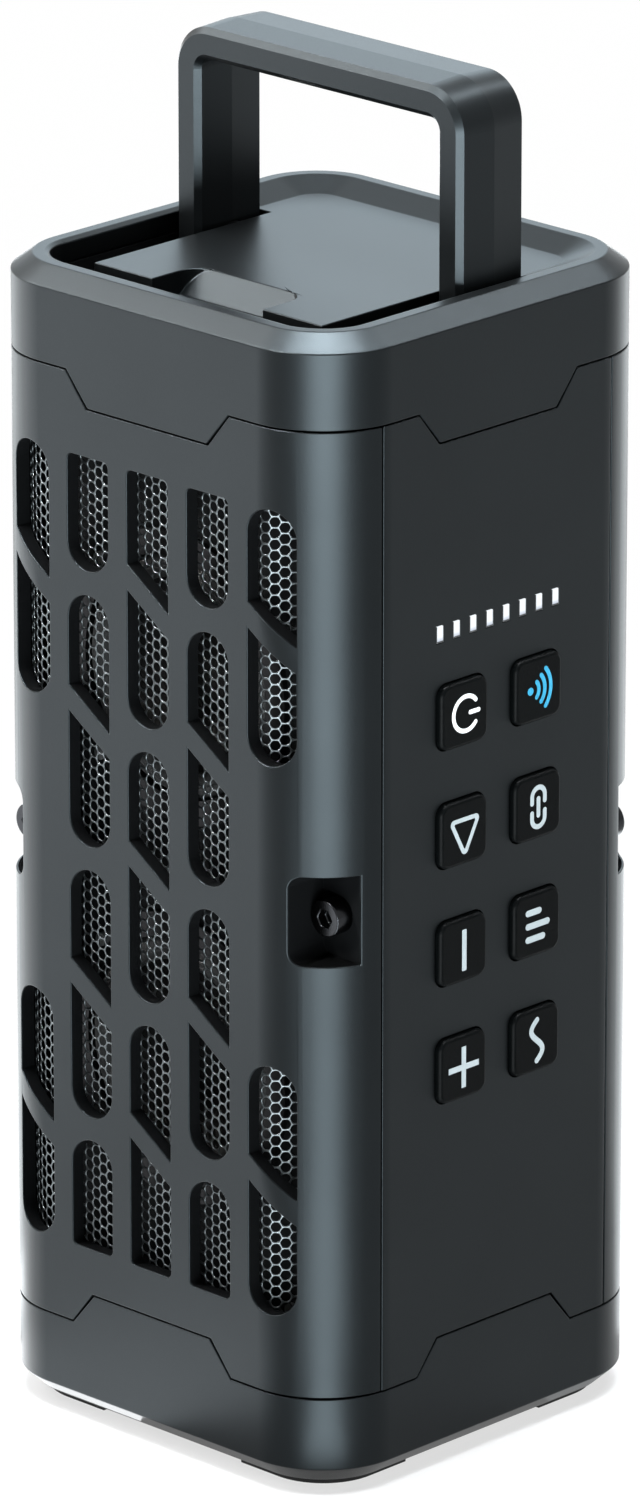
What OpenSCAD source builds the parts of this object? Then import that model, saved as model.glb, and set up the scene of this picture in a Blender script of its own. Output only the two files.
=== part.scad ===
// Square portable speaker tower with a carrying handle that folds down into the top.
// Millimetres. The origin is on the table under the middle of the body. The front
// grille faces -Y, the control panel faces +X and the handle turns about X.

/* [Body] */
// Width and depth of the square body
body_w = 90; // [86:0.5:100]
// Radius of the upright corners
corner_r = 17.2; // [15.5:0.1:19]
// Wall of the shells, panels and caps
wall = 3; // [2.7:0.1:3.3]
// Gap that shows between neighbouring covers
seam = 0.3; // [0.2:0.05:0.4]
// Height of the shells from seam to seam
shell_h = 186.1; // [180:0.1:200]
// Width of the flat panels at the two sides
panel_w = 60.1; // [57:0.1:63]
// Height of the lip that the caps hold inside the shells
lip_h = 4.7; // [3:0.1:5.5]

/* [Base] */
// Height of the base cap below the seam
base_h = 17.4; // [15:0.1:21]
// Height of the chamfer round the underside
base_chamfer_h = 3.5; // [2:0.1:4.5]
// How far that chamfer goes in
base_chamfer_in = 3.8; // [2:0.1:4.5]
// Thickness of the base floor
base_floor = 3; // [2.4:0.1:4]
// Height of the rubber feet
foot_h = 1.4; // [1:0.1:2.4]
// Distance of the feet from the edge of the underside
foot_inset = 1.5; // [1:0.1:4]
// Length of each foot along the two edges
foot_w = 21.7; // [18:0.1:26]

/* [Cap] */
// Height of the top cap above the seam
cap_h = 17.3; // [16:0.1:20]
// Length of the tabs that the caps send over each face
tab_h = 6.5; // [4:0.1:8]
// Width of a tab at the seam
tab_root_w = 41.4; // [36:0.1:46]
// Width of a tab at its end
tab_end_w = 30.4; // [24:0.1:34]
// Height of the chamfer round the rim
rim_chamfer_h = 3; // [2:0.1:4]
// How far that chamfer goes in
rim_chamfer_in = 4.1; // [3:0.1:5]
// Width of the flat top of the rim
rim_flat = 2.2; // [1.4:0.1:2.6]
// Depth of the deck below the rim
deck_drop = 2.2; // [1.6:0.1:3]
// Width of the slope from the rim down to the deck
deck_slope = 5.9; // [4:0.1:8]
// Thickness of the deck
deck_t = 2; // [1.6:0.1:2.4]
// Width of the finger notch in the deck
notch_w = 28; // [20:0.5:32]
// Length of the finger notch
notch_l = 11.5; // [9:0.1:14]
// Depth of the finger notch
notch_h = 4.5; // [3.5:0.1:5]
// Run of the sloped back wall of the notch
notch_run = 4.3; // [1:0.1:5]
// Radius of the notch corners
notch_r = 4.5; // [2:0.1:6]

/* [Handle] */
// Width of the handle strap
strap_w = 17.3; // [15:0.1:18]
// Thickness of the handle strap
strap_t = 6.1; // [5:0.1:7]
// Chamfer along the strap edges
strap_chamfer = 1.1; // [0.6:0.1:1.6]
// Height of the ridge along the middle of the strap
strap_crown = 0.35; // [0.1:0.05:0.5]
// Outer radius of the bends
strap_bend_r = 8.3; // [7.6:0.1:9]
// Distance from the body side to the outer face of a leg
leg_inset = 8.8; // [8.6:0.1:10]
// Distance of the pivot behind the middle of the body
pivot_back = 7.4; // [5:0.1:10]
// Depth of the pivot below the deck
pivot_drop = 5.1; // [4.8:0.1:6]
// Diameter of the pivot pins
pin_d = 4; // [3:0.1:4.4]
// Free width on each side of the strap in its channel
channel_gap = 1.2; // [1:0.1:1.5]
// Free space at the ends of the folded or upright strap
fold_gap = 0.55; // [0.4:0.05:1]
// Running clearance of the strap on its pins
running_fit = 0.05; // [0.02:0.01:0.08]
// Wall of the well under the deck
well_wall = 1.8; // [1.4:0.1:2.2]
// Floor of the well
well_floor = 3; // [2.6:0.1:3.6]

/* [Grille] */
// Width of the grille slots
slot_w = 10.4; // [8:0.1:11.5]
// Distance between slot columns
slot_pitch = 15.3; // [14.5:0.1:16]
// Height of one pair of slots with its gap
slot_period = 53.2; // [50:0.1:55]
// Gap between round slot ends
slot_gap = 4.7; // [3.5:0.1:6]
// Upright width of the slanted bars
bar_gap = 5; // [3.5:0.1:6]
// Slope of the slanted bars
bar_angle = 34.5; // [25:0.5:40]
// Plain height above and below the slotted field
field_margin = 15.8; // [13:0.05:18]
// Corner radius of the square slot ends
slot_corner_r = 1.2; // [0.6:0.1:2]
// Space between the shell and the mesh behind it
mesh_gap = 0.2; // [0.1:0.05:0.3]
// Thickness of the mesh
mesh_t = 0.8; // [0.6:0.1:1]
// Height of the screw pockets in the corners
pocket_h = 17.2; // [15:0.1:20]
// Depth of the pockets from the grille face
pocket_depth = 10.7; // [9:0.1:11.5]
// Width of the pockets from the body side
pocket_w = 10.8; // [10.6:0.1:12]
// Radius of the pocket corners
pocket_r = 2.6; // [1:0.1:4]

/* [Keys and lights] */
// Width and height of a key
key_w = 12.4; // [10:0.1:14]
// Corner radius of a key
key_r = 2.2; // [1:0.1:3]
// Bevel round the top of a key
key_bevel = 0.5; // [0.2:0.1:0.8]
// How far the keys and the port door stand out of the panels
trim_proud = 1.2; // [0.8:0.1:1.6]
// Play round a key in its window
key_play_gap = 0.25; // [0.15:0.05:0.4]
// Travel of a key
key_travel = 0.6; // [0.3:0.1:0.7]
// Distance between key columns
key_col = 19.6; // [18:0.1:22]
// Distance between key rows
key_row = 22.8; // [20:0.1:24]
// Width of a light bar
light_w = 1.85; // [1.4:0.05:2.2]
// Height of a light bar
light_h = 3.1; // [2.4:0.1:3.6]
// Distance between light bars
light_pitch = 4.36; // [4:0.02:4.6]
// Height of the light bars above the middle of the top key row
light_rise = 16.1; // [13:0.1:18]

/* [Charging port] */
// Distance of the port below the middle of the body
port_drop = 50; // [40:0.5:56]
// Width of the port door
door_w = 18; // [16:0.5:22]
// Height of the port door above its pin
door_h = 10; // [8.5:0.1:12]
// Depth of the door seat in the panel
door_seat = 2; // [1.6:0.1:2.2]
// Diameter of the door pin
door_pin_d = 1.5; // [1.2:0.1:1.6]

/* [Inside] */
// Space between the panels and the acoustic box for the boards
side_room = 12; // [11.5:0.1:13]
// Wall of the acoustic box
box_wall = 2.5; // [2:0.1:3]
// Space between the mesh and the baffle
grille_room = 4.2; // [4:0.1:5]
// Thickness of the baffle
baffle_t = 2.5; // [2:0.1:3]
// Thickness of the baffle gasket
gasket_t = 0.8; // [0.5:0.1:1]
// Outer radius of a driver frame
driver_r = 27.9; // [26.5:0.1:28.5]
// Distance between the two drivers
driver_pitch = 74; // [66:0.5:80]
// Largest cone movement each way
cone_travel = 1.5; // [0.5:0.1:2]
// Largest radiator movement each way
radiator_travel = 2; // [0.5:0.1:2.5]
// Diameter of a battery cell
cell_d = 18.4; // [18:0.1:18.6]
// Length of a battery cell
cell_l = 65; // [64:0.5:67]
// Thickness of the circuit boards
board_t = 1.6; // [1:0.1:2]
// Height of the board posts
post_h = 3; // [2:0.1:3.2]

/* [Hidden] */
$fn = 96;

// Overlap that lets cuts pass right through and joined shapes fuse
over = 1;
// Play between parts that sit inside one another
fit = 0.3;
// Play of a fastener in its hole
screw_fit = 0.02;

// Levels
half = body_w / 2;
corner_c = half - corner_r;
base_z = foot_h;
floor_z = base_z + base_floor;
low_seam = base_z + base_h;
high_seam = low_seam + shell_h;
mid_z = (low_seam + high_seam) / 2;
rim_z = high_seam + cap_h;
deck_z = rim_z - deck_drop;
inner_half = half - wall;
lip_t = 2;
lip_half = inner_half - fit;
lip_root = 2;
lip_root_gap = 0.6;

// Handle and well
leg_out = half - leg_inset;
leg_in = leg_out - strap_t;
leg_mid = (leg_out + leg_in) / 2;
channel_out = leg_out + channel_gap;
channel_in = leg_in - channel_gap;
channel_bend_gap = 0.4;
channel_r = strap_bend_r + channel_bend_gap;
channel_end_r = 2;
channel_end = pivot_back + strap_w / 2 + fold_gap;
pivot_z = deck_z - pivot_drop;
reach = pivot_back + channel_out - fold_gap;
bar_top = pivot_z + reach - strap_crown;
island_front = reach - strap_t - 2 * strap_crown - pivot_back - channel_gap + fold_gap;
well_z = pivot_z - strap_w / 2 - fold_gap;
well_under = well_z - well_floor;
well_half = lip_half - lip_t - fit;
well_top = deck_z - deck_t - seam;
boss_wall = 2.5;
boss_r = pin_d / 2 + boss_wall;
pin_grip = 2.6;
pin_in = channel_in - well_wall - pin_grip;
pin_out = well_half - fit;
washer_rim = 0.5;
washer_r = boss_r + washer_rim;
washer_play = 0.15;
notch_pan_t = 1.6;
notch_floor = deck_z - notch_h;

// Grille and pockets
field_h = shell_h - 2 * field_margin;
round_end_rise = 0.2;
mesh_half = inner_half - mesh_gap;
shell_edge = panel_w / 2 + seam / 2;
flange_t = 1.6;
flange_reach = 3.4;
flange_grip = 2.8;
flange_z0 = low_seam + lip_h + fit;
flange_z1 = high_seam - lip_h - fit;
mesh_side_gap = 0.4;
mesh_edge = shell_edge + flange_grip + mesh_side_gap;
mesh_margin = 6.5;
pocket_x = half - pocket_w;
pocket_y = half - pocket_depth;
pocket_wall = 2;
pocket_floor = 2.4;

// Fasteners: M4 socket screws, M3 and M2 pan screws
m4_r = 2;
m4_head_r = 3.5;
m4_head_h = 4;
m4_socket_r = 1.73;
m4_socket_h = 2;
m4_l = 10;
insert_r = 2.5;
insert_l = 8;
m3_r = 1.5;
m3_head_r = 2.75;
m3_head_h = 1.7;
m3_l = 9;
m3_short_l = 8;
m2_r = 0.9;
m2_head_r = 1.6;
m2_small_head_r = 1.25;
m2_head_h = 1;
m2_l = 4;
screw_end_gap = 0.4;
head_sink = 0.1;
screw_pocket_gap = 0.5;
screw_x = pocket_x + m4_head_r + screw_pocket_gap;

// Inside
radiator_room = 3;
box_x = inner_half - side_room;
baffle_front = mesh_half - mesh_t - grille_room;
box_front = baffle_front - baffle_t - gasket_t;
box_back = mesh_half - mesh_t - radiator_travel - radiator_room;
cell_r = cell_d / 2;
cell_play = 0.15;
tray_wall = 2;
cell_y = cell_r + 1.2;
cell_z = floor_z + tray_wall + cell_r;
tray_x = cell_l / 2 + tray_wall + cell_play;
tray_y = cell_y + cell_r + tray_wall;
lid_top = cell_z + cell_r + tray_wall;
pad_t = 1;
box_low = lid_top + pad_t;
box_top_gap = 4.2;
box_high = high_seam - lip_h - box_top_gap;
box_mid = (box_low + box_high) / 2;
flange_x = channel_out - fit;
flange_y = box_front;
ear_gap = 0.8;
ear_x = inner_half - ear_gap;
ear_in = 9;
ear_h = 15;
ear_y = pocket_y - pocket_floor - fit;
leg_r = 4.2;
leg_edge = 0.8;
leg_tray_gap = 3.4;
leg_x = box_x - leg_r - leg_edge;
leg_y = tray_y + leg_r + leg_tray_gap;
well_post_r = 4;
well_screw_in = 2;
well_screw_front = 12;
well_screw_y = [-(island_front + channel_out) / 2 + well_screw_in, -well_screw_front];
cap_boss_r = 3.5;
cap_boss_gap = 2;
cap_boss_front = 12;
cap_boss_back = 9;
cap_boss_x = channel_in - well_wall - cap_boss_r - cap_boss_gap;
cap_boss_y = [-cap_boss_front, channel_end + cap_boss_back];

// Drivers: profiles run outwards along the axis, from the mounting face
frame_w = 3.3;
basket_r = driver_r - frame_w;
basket_t = 1.4;
basket_depth = 14.4;
frame_t = 1.2;
frame_in = basket_r - basket_t;
basket_gap = 0.6;
driver_hole_r = basket_r + basket_gap;
basket_foot = 2;
basket_neck = 2;
basket_hole_gap = 0.4;
window_in = 2;
window_low = 3;
window_rim = 3.5;
magnet_r = 16.5;
magnet_h = 6;
plate_r = 15;
plate_h = 2;
back_plate_h = 2.5;
magnet_gap = 1;
pole_drop = 0.2;
coil_r = 9.1;
coil_t = 0.6;
coil_gap = 0.7;
coil_end_gap = 1.5;
roll_r = 2.4;
roll_t = 0.5;
roll_z = -1.4;
roll_edge = 0.1;
cone_under = 0.6;
cone_r = frame_in - 2 * roll_r + cone_under;
cone_t = 0.8;
cone_neck_z = -10.6;
cone_edge_z = roll_z - fit;
baffle_screw_in = 5;
cone_screw_r = (driver_r + driver_hole_r) / 2;
dome_h = 3;
radiator_hole_r = basket_r;
radiator_clamp_t = 0.8;
radiator_ring_t = 1.6;
radiator_roll_r = 2.9;
radiator_ring_lip = 0.6;
radiator_edge = 1.3;
radiator_plate_r = radiator_hole_r - radiator_edge - 2 * radiator_roll_r - fit;
radiator_plate_t = 2;

// Boards and keys, along +X and -X from the acoustic box
board_x = box_x + post_h;
board_face = board_x + board_t;
key_rows = [1.5, 0.5, -0.5, -1.5];
key_mid_z = mid_z;
key_lift = 0.2;
key_flange_t = 1.2;
key_flange_w = 1;
key_back = inner_half - key_lift - key_flange_t;
switch_w = 6;
switch_h = 3.6;
stem_r = 1.7;
stem_play = 0.15;
stem_gap = 0.4;
stem_end = board_face + switch_h - key_travel - stem_gap;
switch_floor = stem_end - key_travel - fit;
light_z = key_mid_z + 1.5 * key_row + light_rise;
light_n = 8;
light_play = 0.1;
light_back = 3;
light_rim = 0.6;
led_w = 1.6;
led_h = 1.4;
board_screw_in = 3;
post_rim = 0.8;
key_board_edge = 2;
key_board_foot = 4;
key_board_head = 10;
key_board_w = key_col + key_w + 2 * key_board_edge;
key_board_z0 = key_mid_z - 1.5 * key_row - key_w / 2 - key_board_foot;
key_board_z1 = light_z + key_board_head;
main_board_w = 40;
main_board_h = 102;
main_board_drop = 14;
main_board_z0 = mid_z - port_drop - main_board_drop;
main_board_z1 = main_board_z0 + main_board_h;
chip_w = 12;
chip_t = 1.2;
chip_drop = 12;
choke_w = 8;
choke_h = 10;
choke_t = 4;
choke_y = -9;
choke_rise = 11;
capacitor_r = 3;
capacitor_l = 5;
capacitor_y = [4, 12];
capacitor_rise = 10;
ribbon_t = 0.5;
ribbon_w = 10;
ribbon_gap = 0.6;
ribbon_rise = 2.2;
ribbon_x = flange_x + ribbon_gap;
ribbon_z = box_high + ribbon_rise;
ribbon_plug_h = 4;
key_plug_in = 1;
main_plug_in = 3;
key_plug_z = key_board_z1 - ribbon_plug_h - key_plug_in;
main_plug_z = main_board_z1 - ribbon_plug_h - main_plug_in;
lead_r = 0.8;
lead_y = 2;
lead_plug_t = 4;
lead_plug_h = 5;
lead_x = board_face + lead_plug_t / 2;
terminal_h = 4;

// Port
port_z = mid_z - port_drop;
door_back_gap = 0.2;
door_t = trim_proud + door_seat - door_back_gap;
pin_x = half + trim_proud - door_t / 2;
door_pin_z = port_z - door_h / 2;
door_gap = 0.25;
ear_l = 2.6;
usb_w = 8.94;
usb_h = 3.26;
usb_t = 0.3;
usb_inset = 0.6;
usb_x = inner_half - usb_inset;
usb_depth = 5.5;
tongue_w = 6.6;
tongue_h = 0.7;
tongue_in = 0.6;
port_hole_w = 12.6;
port_hole_h = 6.8;

// Colours
shell_colour = "#53585b";
panel_colour = "#2b3033";
cap_colour = "#4a4f52";
handle_colour = "#3a3f42";
key_colour = "#16191a";
black_colour = "#1b1d1e";
steel_colour = "#9aa0a4";
brass_colour = "#b5893c";
board_colour = "#23543a";
rubber_colour = "#202223";
light_colour = "#eef4f8";
cell_colour = "#3c6fae";
lead_colour = "#a8322c";

// Square with rounded corners whose arc centres are at (k, k)
module rounded_square(h, k) {
    for (x = [-k, k], y = [-k, k]) translate([x, y]) circle(h - k);
    square([2 * h, 2 * k], center = true);
    square([2 * k, 2 * h], center = true);
}

// Frustum between two such squares
module rounded_taper(h0, h1, k, height) {
    for (x = [-k, k], y = [-k, k])
        translate([x, y, 0]) cylinder(r1 = h0 - k, r2 = h1 - k, h = height);
    for (a = [0, 90])
        rotate([90, 0, a]) linear_extrude(2 * k, center = true)
            polygon([[-h0, 0], [h0, 0], [h1, height], [-h1, height]]);
}

// Band of the body outline between two distances from its face
module body_ring(inset, thick) {
    difference() {
        rounded_square(half - inset, corner_c);
        rounded_square(half - inset - thick, corner_c);
    }
}

// Outline drawn in X and Z, made solid along Y
module along_y(y0, y1) {
    translate([0, y1, 0]) rotate([90, 0, 0]) linear_extrude(y1 - y0) children();
}

// Outline drawn in Y and Z, made solid along X
module along_x(x0, x1) {
    translate([x0, 0, 0]) rotate([90, 0, 90]) linear_extrude(x1 - x0) children();
}

// Outline drawn in X and Y, made solid along Z
module along_z(z0, z1) {
    translate([0, 0, z0]) linear_extrude(z1 - z0) children();
}

module rod_x(x0, x1, r) {
    translate([x0, 0, 0]) rotate([0, 90, 0]) cylinder(r = r, h = x1 - x0);
}

module rod_y(y0, y1, r) {
    translate([0, y1, 0]) rotate([90, 0, 0]) cylinder(r = r, h = y1 - y0);
}

module rod_z(z0, z1, r) {
    translate([0, 0, z0]) cylinder(r = r, h = z1 - z0);
}

module block(x, y, z) {
    translate([x[0], y[0], z[0]]) cube([x[1] - x[0], y[1] - y[0], z[1] - z[0]]);
}

// The same piece on the left and right, and at the front and back
module both_sides() {
    for (s = [0, 1]) mirror([s, 0, 0]) children();
}

module front_and_back() {
    for (a = [0, 180]) rotate(a) children();
}

// Pan screw standing on its head face, shank along -Z
module pan_screw(r, head_r, head_h, length) {
    rod_z(0, head_h, head_r);
    rod_z(-length, over / 2, r);
}

// Outline of a cap tab on one face: dir is -1 for tabs that point down
module tab_outline(z, dir, grow) {
    polygon([
        [-tab_root_w / 2 - grow, z - dir * over], [-tab_root_w / 2 - grow, z],
        [-tab_end_w / 2 - grow, z + dir * (tab_h + grow)],
        [tab_end_w / 2 + grow, z + dir * (tab_h + grow)],
        [tab_root_w / 2 + grow, z], [tab_root_w / 2 + grow, z - dir * over]
    ]);
}

module tabs(z, dir) {
    for (a = [0 : 90 : 270]) rotate(a) along_y(-half, -inner_half) tab_outline(z, dir, 0);
}

module tab_room() {
    for (a = [0 : 90 : 270]) rotate(a) along_y(-half - over, -inner_half + over) {
        tab_outline(high_seam, -1, seam);
        tab_outline(low_seam, 1, seam);
    }
}

// Ring inside a cap that the shells and panels slip over
module lip(z0, z1, root0, root1) {
    along_z(z0, z1) body_ring(wall + fit, lip_t);
    along_z(root0, root1) body_ring(wall - over / 4, lip_t + fit + over / 4);
}

// Half of the case: grille face with two corners
module shell_outline() {
    intersection() {
        body_ring(0, wall);
        translate([-body_w, -body_w - shell_edge]) square([2 * body_w, body_w]);
    }
}

// Strips inside the upright edges that back the side panels
module shell_flanges() {
    intersection() {
        body_ring(wall + fit, flange_t);
        translate([-body_w, -shell_edge - flange_grip]) square([2 * body_w, flange_grip + flange_reach]);
    }
    intersection() {
        body_ring(wall - over / 4, flange_t + fit + over / 4);
        translate([-body_w, -shell_edge - flange_grip]) square([2 * body_w, flange_grip - fit]);
    }
}

// Square end of a slot with rounded corners, facing down or up
module slot_end(end, up) {
    k = slot_w / 2 - slot_corner_r;
    middle = up ? end - slot_corner_r : end + slot_corner_r;
    for (x = [-k, k]) translate([x, middle]) circle(slot_corner_r);
    translate([-k, min(end, middle)]) square([2 * k, slot_corner_r]);
}

// One grille slot, from lo to hi, with half-round or square ends
module slot(lo, hi, round_lo, round_hi) {
    r = slot_w / 2;
    a = lo + (round_lo ? r : slot_corner_r);
    b = hi - (round_hi ? r : slot_corner_r);
    translate([-r, a]) square([slot_w, b - a]);
    if (round_lo) translate([0, a]) circle(r); else slot_end(lo, false);
    if (round_hi) translate([0, b]) circle(r); else slot_end(hi, true);
}

// One column of slots about z = 0: round gaps part it and slanted bars cross it.
// The outermost columns leave the middle blank for the screw pockets.
module slot_column(odd, outermost) {
    gaps = odd ? [-0.5, 0.5] : [-1, 0, 1];
    bars = odd ? [-1, 0, 1] : [-0.5, 0.5];
    last = len(gaps);
    edge = field_h / 2 + (outermost ? round_end_rise : 0);
    lift = slot_w * tan(bar_angle);
    difference() {
        for (i = [0 : last]) if (!outermost || i == 0 || i == last)
            slot(
                i == 0 ? -edge : gaps[i - 1] * slot_period + slot_gap / 2,
                i == last ? edge : gaps[i] * slot_period - slot_gap / 2,
                i > 0 || outermost,
                i < last || outermost
            );
        for (b = bars) translate([0, b * slot_period]) polygon([
            [-slot_w, lift + bar_gap / 2], [slot_w, -lift + bar_gap / 2],
            [slot_w, -lift - bar_gap / 2], [-slot_w, lift - bar_gap / 2]
        ]);
    }
}

module grille_slots() {
    translate([0, 0, mid_z]) along_y(-half - over, -corner_c - slot_w / 2)
        for (i = [-2 : 2]) translate([i * slot_pitch, 0]) slot_column(i % 2 == 0, abs(i) == 2);
}

// Pocket for a case screw, cut into a corner from the grille face
module pocket_outline(grow) {
    k = pocket_h / 2 + grow;
    r = pocket_r;
    for (z = [-k + r, k - r]) translate([pocket_x - grow + r, mid_z + z]) circle(r);
    translate([pocket_x - grow, mid_z - k + r]) square([pocket_w + grow + over, 2 * (k - r)]);
    translate([pocket_x - grow + r, mid_z - k]) square([pocket_w + grow + over - r, 2 * k]);
}

module pocket_cup() {
    intersection() {
        along_z(low_seam, high_seam) rounded_square(half, corner_c);
        along_y(-half - over, -pocket_y + pocket_floor) pocket_outline(pocket_wall);
    }
}

module shell() {
    difference() {
        union() {
            along_z(low_seam + seam, high_seam - seam) shell_outline();
            along_z(flange_z0, flange_z1) shell_flanges();
            both_sides() pocket_cup();
        }
        tab_room();
        grille_slots();
        both_sides() {
            along_y(-half - over, -pocket_y) pocket_outline(0);
            translate([screw_x, 0, mid_z]) rod_y(-half, -pocket_y + pocket_floor + over, m4_r + fit);
            block([box_x, inner_half - fit], [-ear_y - fit / 2, -ear_y + ear_in + over],
                  [mid_z - ear_h / 2 - over, mid_z + ear_h / 2 + over]);
        }
    }
}

module front_shell() {
    color(shell_colour) shell();
}

module rear_shell() {
    color(shell_colour) rotate(180) shell();
}

// Bent sheet behind the slots, cut out round the screw pockets
module mesh_sheet() {
    z = field_h / 2 + mesh_margin;
    difference() {
        along_z(mid_z - z, mid_z + z) intersection() {
            body_ring(wall + mesh_gap, mesh_t);
            translate([-body_w, -body_w - mesh_edge]) square([2 * body_w, body_w]);
        }
        both_sides() along_y(-half, -corner_c) pocket_outline(pocket_wall + fit);
    }
}

module front_mesh() {
    color(steel_colour) mesh_sheet();
}

module rear_mesh() {
    color(steel_colour) rotate(180) mesh_sheet();
}

// Flat cover between the two shells on the +X side
module panel_blank() {
    difference() {
        along_z(low_seam + seam, high_seam - seam) intersection() {
            body_ring(0, wall);
            translate([corner_c, -panel_w / 2 + seam / 2]) square([corner_r, panel_w - seam]);
        }
        tab_room();
    }
}

module key_places() {
    for (row = key_rows, col = [-0.5, 0.5])
        translate([0, col * key_col, key_mid_z + row * key_row]) children();
}

module light_places() {
    for (i = [0 : light_n - 1])
        translate([0, (i - (light_n - 1) / 2) * light_pitch, light_z]) children();
}

module control_panel() {
    color(panel_colour) difference() {
        panel_blank();
        key_places() along_x(inner_half - over, half + over)
            rounded_square(key_w / 2 + key_play_gap, key_w / 2 - key_r);
        light_places() along_x(inner_half - over, half + over)
            square([light_w + 2 * light_play, light_h + 2 * light_play], center = true);
    }
}

// Plain cover with the charging port, turned to the -X side
module port_panel() {
    color(panel_colour) rotate(180) difference() {
        union() {
            panel_blank();
            for (s = [-1, 1]) translate([pin_x, s * (door_w + ear_l + 2 * door_gap) / 2, door_pin_z])
                rod_y(-ear_l / 2, ear_l / 2, door_t / 2);
        }
        along_x(half - door_seat, half + trim_proud + over) door_outline(door_gap);
        along_x(inner_half - over, half) translate([0, port_z])
            square([port_hole_w, port_hole_h], center = true);
        translate([pin_x, 0, door_pin_z]) rod_y(-door_w, door_w, door_pin_d / 2 + screw_fit);
    }
}

// Door seen square on, with its pin edge at the bottom
module door_outline(grow) {
    translate([-door_w / 2 - grow, door_pin_z - door_t / 2 - grow])
        square([door_w + 2 * grow, door_h + door_t / 2 + 2 * grow]);
}

module port_door() {
    color(rubber_colour) rotate(180) translate([pin_x, 0, door_pin_z]) difference() {
        union() {
            rod_y(-door_w / 2, door_w / 2, door_t / 2);
            block([-door_t / 2, door_t / 2], [-door_w / 2, door_w / 2], [0, door_h]);
        }
        rod_y(-door_w, door_w, door_pin_d / 2 + running_fit);
    }
}

module door_pin() {
    color(steel_colour) rotate(180) translate([pin_x, 0, door_pin_z])
        rod_y(-door_w / 2 - door_gap - ear_l, door_w / 2 + door_gap + ear_l, door_pin_d / 2);
}

// U-shaped channel that takes the folded handle, grown by g
module channel_outline(g) {
    out = channel_out + g;
    front_k = channel_out - channel_r;
    back_r = channel_end_r + g;
    difference() {
        union() {
            for (x = [-front_k, front_k]) translate([x, -front_k]) circle(channel_r + g);
            for (x = [-1, 1]) translate([x * (out - back_r), channel_end + g - back_r]) circle(back_r);
            translate([-out, -front_k]) square([2 * out, front_k + channel_end + g - back_r]);
            translate([-front_k, -out]) square([2 * front_k, out]);
            translate([-out + back_r, 0]) square([2 * (out - back_r), channel_end + g]);
        }
        translate([-channel_in + g, -island_front + g]) square([2 * (channel_in - g), body_w]);
    }
}

// Finger notch in the front edge of the deck, grown by g
module notch_outline(g) {
    w = notch_w / 2 + g;
    back = -island_front + notch_l + g;
    r = notch_r;
    for (x = [-w + r, w - r]) translate([x, back - r]) circle(r);
    translate([-w, -island_front - over / 4]) square([2 * w, back - r + island_front + over / 4]);
    translate([-w + r, -island_front - over / 4]) square([2 * (w - r), back + island_front + over / 4]);
}

// Section of the sloped back wall that a finger slides down
module notch_slope() {
    back = -island_front + notch_l;
    polygon([
        [back - notch_run, notch_floor],
        [back - notch_run, notch_floor - over],
        [back + over, notch_floor - over],
        [back + over, deck_z],
        [back, deck_z],
    ]);
}

module cap_bosses() {
    for (x = [-cap_boss_x, cap_boss_x], y = cap_boss_y) translate([x, y, 0]) children();
}

module top_cap() {
    flat_in = half - rim_chamfer_in - rim_flat;
    color(cap_colour) difference() {
        union() {
            difference() {
                union() {
                    along_z(high_seam, rim_z - rim_chamfer_h) rounded_square(half, corner_c);
                    translate([0, 0, rim_z - rim_chamfer_h])
                        rounded_taper(half, half - rim_chamfer_in, corner_c, rim_chamfer_h);
                }
                along_z(high_seam - over, deck_z - deck_t) rounded_square(inner_half, corner_c);
                translate([0, 0, deck_z]) rounded_taper(flat_in - deck_slope, flat_in, corner_c, deck_drop);
                along_z(rim_z, rim_z + over) rounded_square(flat_in, corner_c);
            }
            tabs(high_seam, -1);
            lip(high_seam - lip_h, high_seam + lip_root, high_seam + lip_root_gap, high_seam + lip_root);
            along_z(notch_floor - notch_pan_t, deck_z - deck_t + over / 4) notch_outline(notch_pan_t);
            cap_bosses() rod_z(well_z, deck_z - deck_t + over / 4, cap_boss_r);
        }
        along_z(well_top, rim_z + over) channel_outline(0);
        difference() {
            along_z(notch_floor, rim_z + over) notch_outline(0);
            along_x(-notch_w, notch_w) notch_slope();
        }
        cap_bosses() rod_z(well_z - over, well_under + m3_l + over, m3_r + screw_fit);
    }
}

// Tub under the deck that carries the handle pins
module handle_well() {
    color(black_colour) difference() {
        union() {
            along_z(well_under, well_z) rounded_square(well_half, corner_c);
            along_z(well_z - over / 4, well_top) difference() {
                channel_outline(well_wall);
                channel_outline(0);
            }
            both_sides() intersection() {
                translate([0, pivot_back, pivot_z]) {
                    rod_x(pin_in, channel_in, boss_r);
                    rod_x(channel_out, pin_out, boss_r);
                }
                along_z(well_under, well_top) square(body_w, center = true);
            }
        }
        both_sides() translate([0, pivot_back, pivot_z]) rod_x(pin_in - over, pin_out, pin_d / 2 + screw_fit);
        along_z(notch_floor - notch_pan_t - fit, deck_z) notch_outline(notch_pan_t + fit);
        well_screw_places() {
            rod_z(-well_floor - over, over, m3_r + fit);
            rod_z(-m3_head_h - head_sink, over, m3_head_r + fit);
        }
        cap_bosses() rod_z(well_under - over, well_z + over, m3_r + fit);
    }
}

module well_screw_places() {
    for (x = [-leg_mid, leg_mid], y = well_screw_y) translate([x, y, well_z]) children();
}

module well_screws() {
    color(steel_colour) well_screw_places()
        translate([0, 0, -m3_head_h - head_sink]) pan_screw(m3_r, m3_head_r, m3_head_h, m3_short_l);
}

module cap_screws() {
    color(steel_colour) cap_bosses() translate([0, 0, well_under])
        rotate([180, 0, 0]) pan_screw(m3_r, m3_head_r, m3_head_h, m3_l);
}

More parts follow.
